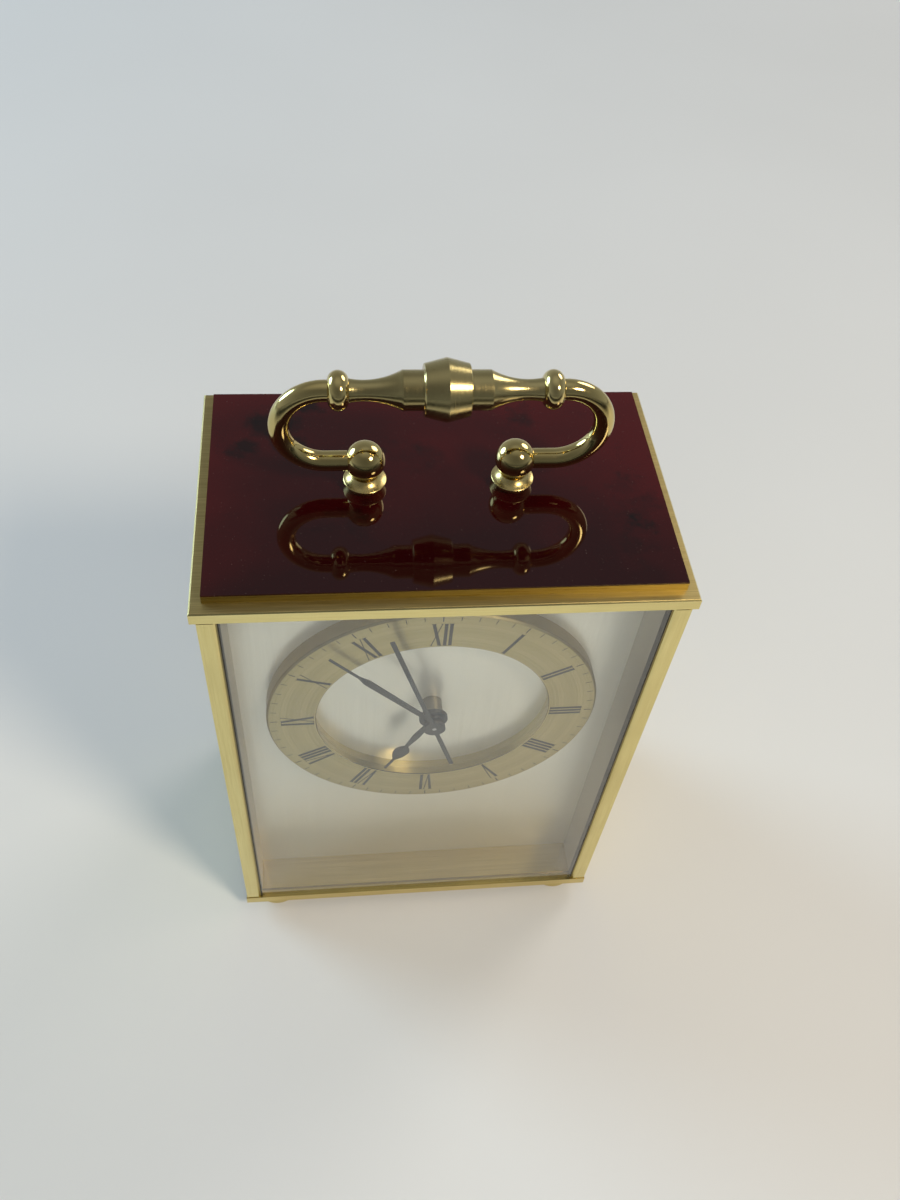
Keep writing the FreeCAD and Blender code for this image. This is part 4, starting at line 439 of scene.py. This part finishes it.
nodeFinish = {
    "base_plate": "edgeBrass",
    "side_wall_left": "uprightBrass",
    "side_wall_right": "uprightBrass",
    "top_plate": "plateBrass",
    "inlay_plate": "inlayBrass",
    "lacquer_sheet": "cloudedLacquer",
    "base_screws": "screwSteel",
    "top_screws": "screwSteel",
    "back_panel": "uprightBrass",
    "back_screws": "screwSteel",
    "front_glass": "paneGlass",
    "glass_seals": "sealBlack",
    "side_liners": "linerGrey",
    "dial_plate": "silverDial",
    "post_nuts": "screwSteel",
    "hour_hand": "handSlate",
    "minute_hand": "handSlate",
    "second_hand": "handSlate",
    "movement_front_case": "caseBlack",
    "movement_back_case": "caseBlack",
    "movement_screws": "screwSteel",
    "movement_nuts": "screwSteel",
    "stator": "screwSteel",
    "coil": "coilCopper",
    "circuit_board": "boardGreen",
    "drive_chip": "chipBlack",
    "quartz_crystal": "brightCan",
    "battery": "batterySleeve",
    "contact_minus": "brightCan",
    "contact_plus": "brightCan",
    "rotor_pinion": "wheelWhite",
    "rotor_magnet": "magnetGrey",
    "seconds_arbor": "screwSteel",
    "seconds_wheel": "wheelWhite",
    "third_pinion": "wheelWhite",
    "third_wheel": "wheelWhite",
    "minute_pipe": "mirrorBrass",
    "centre_wheel": "wheelWhite",
    "motion_wheel": "wheelWhite",
    "hour_wheel": "wheelWhite",
    "setting_stem": "wheelWhite",
    "setting_knob": "caseBlack",
}
for nodeName, finishName in nodeFinish.items():
    for materialSlot in nodes[nodeName].material_slots:
        materialSlot.material = finishes[finishName]
print("finishes made:", len(finishes))

xAxis = Vector((1, 0, 0))
yAxis = Vector((0, 1, 0))
zAxis = Vector((0, 0, 1))


def addPiece(name, mesh, finishName, smoothAngle=None):
    piece = bpy.data.objects.new(name, mesh)
    scene.collection.objects.link(piece)
    mesh.materials.clear()
    mesh.materials.append(finishes[finishName])
    if smoothAngle is not None:
        for face in mesh.polygons:
            face.use_smooth = True
        mesh.set_sharp_from_angle(angle=math.radians(smoothAngle))
    return piece


def meshFrom(work, name):
    bmesh.ops.recalc_face_normals(work, faces=work.faces)
    mesh = bpy.data.meshes.new(name)
    work.to_mesh(mesh)
    work.free()
    return mesh


def arcTo(start, end, radius, turn, steps):
    # Points after start, up to end, on an arc; turn 1 runs anticlockwise
    first, last = Vector(start), Vector(end)
    chord = last - first
    across = Vector((-chord.y, chord.x)).normalized()
    reach = math.sqrt(radius ** 2 - (chord.length / 2) ** 2)
    centre = (first + last) / 2 + across * reach * turn
    a = math.atan2(first.y - centre.y, first.x - centre.x)
    b = math.atan2(last.y - centre.y, last.x - centre.x)
    sweep = (b - a) % (2 * math.pi)
    if turn < 0:
        sweep -= 2 * math.pi
    angles = [a + sweep * i / steps for i in range(1, steps + 1)]
    return [(centre.x + radius * math.cos(t), centre.y + radius * math.sin(t)) for t in angles]


def lathe(profile, centre, axis, steps=128, closed=False):
    # Turns (place on the axis, radius) pairs, in millimetres, about an axis through the centre
    work = bmesh.new()
    side = xAxis if abs(axis.y) > 0.5 else yAxis
    other = axis.cross(side)
    angles = [2 * math.pi * i / steps for i in range(steps)]
    rings = []
    for place, radius in profile:
        spot = centre + axis * (place * mm)
        if radius < 1e-6:
            rings.append([work.verts.new(spot)])
            continue
        spokes = [side * math.cos(t) + other * math.sin(t) for t in angles]
        rings.append([work.verts.new(spot + spoke * (radius * mm)) for spoke in spokes])
    pairs = list(zip(rings, rings[1:]))
    if closed:
        pairs.append((rings[-1], rings[0]))
    for near, far in pairs:
        for i in range(steps):
            j = (i + 1) % steps
            if len(near) == 1:
                work.faces.new((near[0], far[i], far[j]))
            elif len(far) == 1:
                work.faces.new((near[i], far[0], near[j]))
            else:
                work.faces.new((near[i], far[i], far[j], near[j]))
    return meshFrom(work, "turned")


class Group(Tree):
    # A geometry tree with named inputs and one painted result
    def __init__(self, name, inputs):
        super().__init__(bpy.data.node_groups.new(name, "GeometryNodeTree"))
        sockets = self.nodeTree.interface
        sockets.new_socket(name="Start", in_out="INPUT", socket_type="NodeSocketGeometry")
        self.ids = {}
        for label, kind in inputs.items():
            entry = sockets.new_socket(name=label, in_out="INPUT", socket_type=f"NodeSocket{kind}")
            self.ids[label] = entry.identifier
        sockets.new_socket(name="Result", in_out="OUTPUT", socket_type="NodeSocketGeometry")
        self.start = self.nodeTree.nodes.new("NodeGroupInput")
        self.end = self.nodeTree.nodes.new("NodeGroupOutput")

    def given(self, label):
        return Wire(self, self.start.outputs[label])

    def paint(self, shape, finishName):
        real = self.node("GeometryNodeRealizeInstances", {}, {"Geometry": shape})
        sockets = {"Geometry": real, "Material": finishes[finishName]}
        self.join(self.node("GeometryNodeSetMaterial", {}, sockets), self.end.inputs["Result"])


def grownMesh(name, mesh, group, values):
    # Runs a geometry tree over a start mesh and keeps the result as a plain mesh
    holder = bpy.data.objects.new(f"{name}Start", mesh)
    scene.collection.objects.link(holder)
    modifier = holder.modifiers.new("grow", "NODES")
    modifier.node_group = group.nodeTree
    for label, value in values.items():
        modifier[group.ids[label]] = value
    bpy.context.view_layer.update()
    result = holder.evaluated_get(bpy.context.evaluated_depsgraph_get())
    grown = bpy.data.meshes.new_from_object(result)
    holder.modifiers.remove(modifier)
    bpy.data.objects.remove(holder)
    return grown


# Carrying handle
barZ = (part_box("handle_grip")[0].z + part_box("handle_grip")[1].z) / 2
grip = {"half": 19.6, "end": 2.40, "step": 4.10, "stepEnd": 9.05, "knobHalf": 4.65, "shoulder": 5.30,
        "knob": 6.49, "sweep": 16.2, "edge": 0.12}


def gripMesh():
    g, e = grip, grip["edge"]
    right = [(0.0, g["knob"]), (g["knobHalf"] - e, g["shoulder"] + e * 0.25),
             (g["knobHalf"], g["shoulder"] - e), (g["knobHalf"], g["step"] + e),
             (g["knobHalf"] + e, g["step"]), (g["stepEnd"] - e, g["step"]),
             (g["stepEnd"], g["step"] - e * 0.4)]
    right += arcTo(right[-1], (g["half"], g["end"]), g["sweep"], 1, 20)
    right.append((g["half"], 0.0))
    left = [(-place, radius) for place, radius in reversed(right[1:])]
    return lathe(left + right, Vector((0, 0, barZ)), xAxis, 160)


gripPiece = addPiece("turnedGrip", gripMesh(), "lathedBrass", 14)
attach(gripPiece, "handle")
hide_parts("handle_grip")

bead = {"half": 2.15, "radius": 4.10, "lip": 2.33, "bore": 2.23, "round": 2.191, "place": 21.75}


def beadMesh(sign):
    b = bead
    start = (-b["half"], b["lip"])
    up = arcTo(start, (0.0, b["radius"]), b["round"], -1, 14)
    down = arcTo(up[-1], (b["half"], b["lip"]), b["round"], -1, 14)
    profile = [(-b["half"], b["bore"]), start, *up, *down, (b["half"], b["bore"])]
    return lathe(profile, Vector((sign * b["place"] * mm, 0, barZ)), xAxis, 96, closed=True)


ball = {"radius": 4.35, "place": 16.2, "stem": 2.0, "bore": 2.25, "boreStart": 1.0, "boreDepth": 6.0,
        "inside": 3.0}
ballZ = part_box("handle_post_left")[1].z - ball["radius"] * mm


def ballMesh(sign):
    # Ball with its stem and the bore that takes the rod
    centre = Vector((sign * ball["place"] * mm, 0, ballZ))
    angles = [math.pi * i / 64 for i in range(1, 64)]
    arc = [(-ball["radius"] * math.cos(t), ball["radius"] * math.sin(t)) for t in angles]
    sphere = lathe([(-ball["radius"], 0.0), *arc, (ball["radius"], 0.0)], centre, xAxis, 112)
    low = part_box("handle_post_left")[0].z
    reach = (ballZ - low) / mm - ball["inside"]
    stem = lathe([(0.0, 0.0), (0.0, ball["stem"]), (reach, ball["stem"]), (reach, 0.0)],
                 Vector((centre.x, 0, low)), zAxis, 48)
    depth = ball["boreDepth"]
    bore = lathe([(0.0, 0.0), (0.0, ball["bore"]), (depth, ball["bore"]), (depth, 0.0)],
                 centre + xAxis * (sign * ball["boreStart"] * mm), xAxis * sign, 64)
    blanks = [bpy.data.objects.new("ballBlank", shape) for shape in (sphere, stem, bore)]
    for blank in blanks:
        scene.collection.objects.link(blank)
    for tool, operation in zip(blanks[1:], ("UNION", "DIFFERENCE")):
        modifier = blanks[0].modifiers.new(operation, "BOOLEAN")
        modifier.operation = operation
        modifier.object = tool
        modifier.solver = "EXACT"
    bpy.context.view_layer.update()
    result = blanks[0].evaluated_get(bpy.context.evaluated_depsgraph_get())
    mesh = bpy.data.meshes.new_from_object(result)
    for blank in blanks:
        bpy.data.objects.remove(blank)
    return mesh


rod = {"radius": 2.20, "bend": 9.5, "bendX": 24.45, "start": 17.6, "end": 19.6}


def rodTree():
    # A round rod along a path whose corners are bent
    g = Group("bentRod", {"Rod Radius": "Float", "Bend Radius": "Float"})
    path = g.node("GeometryNodeMeshToCurve", {}, {"Mesh": g.given("Start")})
    bent = g.node("GeometryNodeFilletCurve", {"mode": "POLY"},
                  {"Curve": path, "Radius": g.given("Bend Radius"), "Count": 40, "Limit Radius": True})
    section = g.node("GeometryNodeCurvePrimitiveCircle", {},
                     {"Radius": g.given("Rod Radius"), "Resolution": 56})
    tube = g.node("GeometryNodeCurveToMesh", {},
                  {"Curve": bent, "Profile Curve": section, "Fill Caps": True})
    g.paint(tube, "mirrorBrass")
    return g


rodGroup = rodTree()


def rodMesh(sign):
    corner = rod["bendX"] + rod["bend"]
    places = [(rod["start"], ballZ), (corner, ballZ), (corner, barZ), (rod["end"], barZ)]
    path = bpy.data.meshes.new("rodPath")
    path.from_pydata([(sign * x * mm, 0, z) for x, z in places], [(0, 1), (1, 2), (2, 3)], [])
    values = {"Rod Radius": rod["radius"] * mm, "Bend Radius": rod["bend"] * mm}
    return grownMesh("rod", path, rodGroup, values)


collar = {"foot": 3.6, "rim": 4.675, "rimLow": 1.60, "rimHigh": 1.95, "top": 2.90, "height": 3.30,
          "sweep": 3.4, "bore": 2.05, "edge": 0.09}
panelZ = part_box("lacquer_sheet")[1].z


def collarMesh(sign):
    c, e = collar, collar["edge"]
    flare = arcTo((c["rim"] - e, c["rimHigh"]), (c["top"], c["height"]), c["sweep"], -1, 18)
    profile = [(0.0, c["bore"]), (0.0, c["foot"]), (c["rimLow"] - e, c["rim"] - e),
               (c["rimLow"] + e, c["rim"]), (c["rimHigh"] - e, c["rim"]), (c["rimHigh"], c["rim"] - e),
               *[(height, radius) for radius, height in flare], (c["height"], c["bore"])]
    return lathe(profile, Vector((sign * ball["place"] * mm, 0, panelZ)), zAxis, 112, closed=True)


for side, sign in (("left", -1), ("right", 1)):
    sidePieces = [("Bead", beadMesh(sign), "mirrorBrass", 40, "handle_bead", "handle"),
                  ("Rod", rodMesh(sign), "mirrorBrass", 40, "handle_arm", "handle"),
                  ("Ball", ballMesh(sign), "mirrorBrass", 40, "handle_post", "case"),
                  ("Collar", collarMesh(sign), "collarBrass", 30, "post_collar", "case")]
    for label, mesh, finishName, smoothAngle, node, body in sidePieces:
        piece = addPiece(side + label, mesh, finishName, smoothAngle)
        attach(piece, body)
        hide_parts(f"{node}_{side}")
print("handle made")

# Bun feet
foot = {"sole": 4.8, "widest": 7.0, "belly": 2.5, "crown": 6.2, "height": 4.0, "bulge": 3.4,
        "shoulder": 2.4, "x": 42.5, "y": 26.0}


def footTree():
    # One copy of the start mesh at each corner of a rectangle
    g = Group("footCorners", {"Half Width": "Float", "Half Depth": "Float"})
    index = g.node("GeometryNodeInputIndex")
    across = (index % 2.0 * 2.0 - 1.0) * g.given("Half Width")
    toBack = ((index / 2.0).floored() * 2.0 - 1.0) * g.given("Half Depth")
    spot = g.node("ShaderNodeCombineXYZ", {}, {"X": across, "Y": toBack})
    corners = g.node("GeometryNodePoints", {}, {"Count": 4, "Position": spot})
    laid = g.node("GeometryNodeInstanceOnPoints", {}, {"Points": corners, "Instance": g.given("Start")})
    g.paint(laid, "mirrorBrass")
    return g


def feetMesh():
    low = arcTo((foot["sole"], 0.0), (foot["widest"], foot["belly"]), foot["bulge"], 1, 14)
    high = arcTo(low[-1], (foot["crown"], foot["height"]), foot["shoulder"], 1, 10)
    profile = [(0.0, 0.0), (0.0, foot["sole"]), *[(z, r) for r, z in low + high], (foot["height"], 0.0)]
    one = lathe(profile, Vector((0, 0, 0)), zAxis, 72)
    return grownMesh("feet", one, footTree(), {"Half Width": foot["x"] * mm, "Half Depth": foot["y"] * mm})


feetPiece = addPiece("bunFeet", feetMesh(), "mirrorBrass", 35)
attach(feetPiece, "case")
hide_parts("feet")
print("feet made")

ringFront = ringLow.y


def ringMesh():
    r = ring
    profile = [(0.0, r["inner"] + r["edge"]), (0.0, r["outer"] - r["bevel"]), (r["bevel"], r["outer"]),
               (r["thickness"], r["outer"]), (r["thickness"], r["back"]), (r["edge"], r["inner"])]
    return lathe(profile, Vector((dialCentre.x, ringFront, dialCentre.z)), yAxis, 256, closed=True)


ringPiece = addPiece("chapterRing", ringMesh(), "ringBrass", 20)
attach(ringPiece, "case")
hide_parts("chapter_ring")

# Bush that the hands turn in
bush = {"radius": 2.45, "bore": 1.85, "flange": 4.0, "flangeDepth": 1.0, "edge": 0.15}


def bushMesh():
    b = bush
    low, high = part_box("centre_bush")
    reach = (high.y - low.y) / mm
    step = reach - b["flangeDepth"]
    profile = [(0.0, b["bore"]), (0.0, b["radius"] - b["edge"]), (b["edge"], b["radius"]),
               (step, b["radius"]), (step, b["flange"]), (reach, b["flange"]), (reach, b["bore"])]
    return lathe(profile, Vector((dialCentre.x, low.y, dialCentre.z)), yAxis, 72, closed=True)


bushPiece = addPiece("centreBush", bushMesh(), "dullBush", 30)
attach(bushPiece, "case")
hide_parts("centre_bush")

# Minute and hour strokes printed on the ring
ticks = {"outer": 39.7, "length": 1.5, "width": 0.17, "depth": 0.02, "hourLength": 1.8, "hourWidth": 0.26}


def tickTree():
    # Sixty strokes about the Y axis, every fifth one longer and wider
    g = Group("minuteTicks", {"Outer Radius": "Float", "Minute Stroke": "Vector", "Hour Stroke": "Vector"})
    index = g.node("GeometryNodeInputIndex")
    isHour = g.node("FunctionNodeCompare", {"data_type": "FLOAT", "operation": "LESS_THAN"},
                    {"A": index % 5.0, "B": 0.5})
    stroke = g.node("GeometryNodeSwitch", {"input_type": "VECTOR"},
                    {0: isHour, 1: g.given("Minute Stroke"), 2: g.given("Hour Stroke")})
    length = g.node("ShaderNodeSeparateXYZ", {}, {0: stroke}, out="Z")
    reach = g.given("Outer Radius") - length * 0.5
    angle = index * math.radians(6)
    spot = g.node("ShaderNodeCombineXYZ", {}, {"X": angle.sine() * reach, "Z": angle.cosine() * reach})
    points = g.node("GeometryNodePoints", {}, {"Count": 60, "Position": spot})
    bar = g.node("GeometryNodeMeshCube", {}, {"Size": (1.0, 1.0, 1.0)}, out="Mesh")
    turn = g.node("ShaderNodeCombineXYZ", {}, {"Y": angle})
    laid = g.node("GeometryNodeInstanceOnPoints", {},
                  {"Points": points, "Instance": bar, "Rotation": turn, "Scale": stroke})
    g.paint(laid, "printBlack")
    return g


def tickMesh():
    t = ticks
    values = {"Outer Radius": t["outer"] * mm,
              "Minute Stroke": (t["width"] * mm, t["depth"] * mm, t["length"] * mm),
              "Hour Stroke": (t["hourWidth"] * mm, t["depth"] * mm, t["hourLength"] * mm)}
    mesh = grownMesh("ticks", bpy.data.meshes.new("tickStart"), tickTree(), values)
    mesh.transform(Matrix.Translation((dialCentre.x, ringFront - t["depth"] * mm / 2, dialCentre.z)))
    return mesh


tickPiece = addPiece("minuteTicks", tickMesh(), "printBlack")
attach(tickPiece, "case")

# Roman numerals printed on the ring
numerals = {"inner": 29.1, "height": 8.0, "thick": 0.78, "thin": 0.22, "gap": 0.40, "vWidth": 2.2,
            "xWidth": 2.4, "serif": 0.16, "overhang": 0.13, "depth": 0.02, "sunk": 0.02}
hourWords = ["XII", "I", "II", "III", "IIII", "V", "VI", "VII", "VIII", "IX", "X", "XI"]


def strokesOf(letter, left):
    # Four-cornered strokes of one letter, standing on zero, and the letter's width
    n = numerals
    top, thick, thin = n["height"], n["thick"], n["thin"]
    if letter == "I":
        return [[(left, 0), (left + thick, 0), (left + thick, top), (left, top)]], thick
    if letter == "V":
        mid, right = left + n["vWidth"] * 0.52, left + n["vWidth"]
        heavy = [(mid - thick * 0.35, 0), (mid + thick * 0.35, 0), (left + thick, top), (left, top)]
        light = [(mid - thin * 0.5, 0), (mid + thin * 0.9, 0), (right, top), (right - thin, top)]
        return [heavy, light], n["vWidth"]
    right = left + n["xWidth"]
    heavy = [(right - thick, 0), (right, 0), (left + thick, top), (left, top)]
    light = [(left, 0), (left + thin, 0), (right, top), (right - thin, top)]
    return [heavy, light], n["xWidth"]


def serifsOf(letter, left, width):
    # Thin bars across the stroke ends
    n = numerals
    out, right = n["overhang"], left + width
    low, high = (0, n["serif"]), (n["height"] - n["serif"], n["height"])
    thickReach, thinReach = n["thick"] + out, n["thin"] + out * 1.6
    if letter == "I":
        spans = [(left - out, right + out, high), (left - out, right + out, low)]
    else:
        spans = [(left - out, left + thickReach, high), (right - thinReach, right + out, high)]
    if letter == "X":
        spans += [(left - out, left + thinReach, low), (right - thickReach, right + out, low)]
    return [[(a, z0), (b, z0), (b, z1), (a, z1)] for a, b, (z0, z1) in spans]


def numeralMesh():
    n = numerals
    work = bmesh.new()
    for hour, word in enumerate(hourWords):
        shapes = []
        left = 0.0
        for letter in word:
            strokes, width = strokesOf(letter, left)
            shapes += strokes + serifsOf(letter, left, width)
            left += width + n["gap"]
        middle = (left - n["gap"]) / 2
        turn = Matrix.Rotation(math.radians(30 * hour), 3, "Y")
        for shape in shapes:
            corners = [turn @ Vector((x - middle, 0, z + n["inner"])) * mm for x, z in shape]
            corners = [corner + Vector((dialCentre.x, ringFront, dialCentre.z)) for corner in corners]
            near = [work.verts.new(corner - yAxis * n["depth"] * mm) for corner in corners]
            far = [work.verts.new(corner + yAxis * n["sunk"] * mm) for corner in corners]
            work.faces.new(near)
            work.faces.new(far[::-1])
            for i in range(4):
                j = (i + 1) % 4
                work.faces.new((near[j], near[i], far[i], far[j]))
    return meshFrom(work, "romanNumerals")


numeralPiece = addPiece("romanNumerals", numeralMesh(), "printBlack")
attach(numeralPiece, "case")
print("dial made")

# Floor, lamps and room
stage = {"reach": 20.0, "world": 1.22, "frontDim": 0.60, "lampTarget": (0, 0, 0.09)}


def paperFloor():
    f = Finish("paperFloor")
    soft = f.noise(f.place(), 3.0, 3.0)
    fibre = f.noise(f.place(), 420.0, 4.0)
    colour = f.blend((soft * 1.6 - 0.3).clipped(), rgb(0.735, 0.738, 0.73), rgb(0.80, 0.805, 0.80))
    return f.surface({"Base Color": colour, "Roughness": 0.9, "Normal": f.bump(fibre, 0.05, 0.2 * mm)})


squareCorners = ((-1, 0), (1, 0), (1, 1), (-1, 1))


def stageSheet(name, corners, material):
    mesh = bpy.data.meshes.new(name)
    mesh.from_pydata(corners, [], [(0, 1, 2, 3)])
    mesh.materials.append(material)
    sheet = bpy.data.objects.new(name, mesh)
    scene.collection.objects.link(sheet)
    return sheet


reach = stage["reach"]
floorCorners = [(reach * x, reach * (2 * y - 1), 0) for x, y in squareCorners]
stageSheet("floor", floorCorners, paperFloor())

# Low dark card where the photographer stands, there only for the brass to mirror
card = {"place": -0.18, "half": 0.80, "height": 0.19, "lowFade": 0.09, "highFade": 0.07, "sideFade": 0.5}


def fadingCard():
    f = Finish("fadingCard")
    upward = f.along("Z")
    shown = upward.ramp(card["lowFade"]) * (card["height"] - upward).ramp(card["highFade"])
    shown = shown * (card["half"] - f.along("X").unsigned()).ramp(card["sideFade"])
    clear = f.node("ShaderNodeBsdfTransparent", {}, {"Color": rgb(1, 1, 1)})
    dark = f.node("ShaderNodeBsdfDiffuse", {}, {"Color": rgb(0.04, 0.04, 0.04)})
    return f.show(f.node("ShaderNodeMixShader", {}, {0: shown, 1: clear, 2: dark}))


cardCorners = [(card["half"] * x, card["place"], card["height"] * z) for x, z in squareCorners]
darkCard = stageSheet("darkCard", cardCorners, fadingCard())
darkCard.visible_camera = False
darkCard.visible_diffuse = False
darkCard.visible_shadow = False
darkCard.visible_transmission = False


lamps = {
    "warmLamp": {"place": (0.52, -0.54, 0.85), "size": 0.26, "power": 5.2, "colour": (1.0, 0.85, 0.65)},
    "leftWindow": {"place": (-1.70, 1.05, 0.72), "size": 1.00, "power": 24.5, "colour": (0.58, 0.81, 1.0)},
    "rightWindow": {"place": (1.40, 1.25, 1.25), "size": 1.00, "power": 12.0, "colour": (1.0, 0.92, 0.81)},
    "frontFill": {"place": (-0.45, -1.70, 1.00), "size": 2.20, "power": 11.5, "colour": (0.86, 0.94, 1.0),
                  "mirrored": False},
}


def softLamp(name, place, size, power, colour, mirrored=True):
    light = bpy.data.lights.new(name, "AREA")
    light.shape = "DISK"
    light.size = size
    light.energy = power
    light.color = colour
    lamp = bpy.data.objects.new(name, light)
    lamp.location = place
    aim = Vector(stage["lampTarget"]) - Vector(place)
    lamp.rotation_euler = aim.to_track_quat("-Z", "Y").to_euler()
    lamp.visible_glossy = mirrored
    scene.collection.objects.link(lamp)


for lampName, settings in lamps.items():
    softLamp(lampName, **settings)


def studioWorld():
    # Room seen in the brass: bright low down, dim higher up, a pale ceiling, and dimmer in front
    world = bpy.data.worlds.new("studio")
    world.use_nodes = True
    room = Tree(world.node_tree)
    spot = room.node("ShaderNodeTexCoord", out="Generated")
    upward = room.node("ShaderNodeSeparateXYZ", {}, {0: spot}, out="Z")
    toBack = room.node("ShaderNodeSeparateXYZ", {}, {0: spot}, out="Y")
    stops = [(0.0, rgb(0.33, 0.35, 0.37)), (0.25, rgb(0.26, 0.275, 0.29)), (0.50, rgb(0.21, 0.22, 0.23)),
             (0.78, rgb(0.18, 0.185, 0.19)), (0.92, rgb(0.27, 0.275, 0.28)), (1.0, rgb(0.32, 0.325, 0.33))]
    air = room.node("ShaderNodeValToRGB", {"stops": stops}, {0: upward})
    dim = (toBack * -stage["frontDim"]).clipped()
    background = world.node_tree.nodes["Background"]
    background.inputs["Strength"].default_value = stage["world"]
    room.join(room.blend(dim, air, rgb(0, 0, 0)), background.inputs["Color"])
    return world


scene.world = studioWorld()

# Camera of the photograph
view = {"lens": 31.537, "sensor": 36.0, "place": (-24.84, -163.41, 310.70), "target": (7.852, 12.489, 90.0),
        "roll": 6.583, "clip": 0.01}
camera = bpy.data.cameras.new("photoCamera")
camera.lens = view["lens"]
camera.sensor_width = view["sensor"]
camera.clip_start = view["clip"]
eye = bpy.data.objects.new("photoCamera", camera)
ahead = (Vector(view["target"]) - Vector(view["place"])).to_track_quat("-Z", "Y").to_matrix().to_4x4()
roll = Matrix.Rotation(math.radians(view["roll"]), 4, "Z")
eye.matrix_world = Matrix.Translation(Vector(view["place"]) * mm) @ ahead @ roll
scene.collection.objects.link(eye)
scene.camera = eye
scene.view_settings.view_transform = "Standard"
print("stage made")
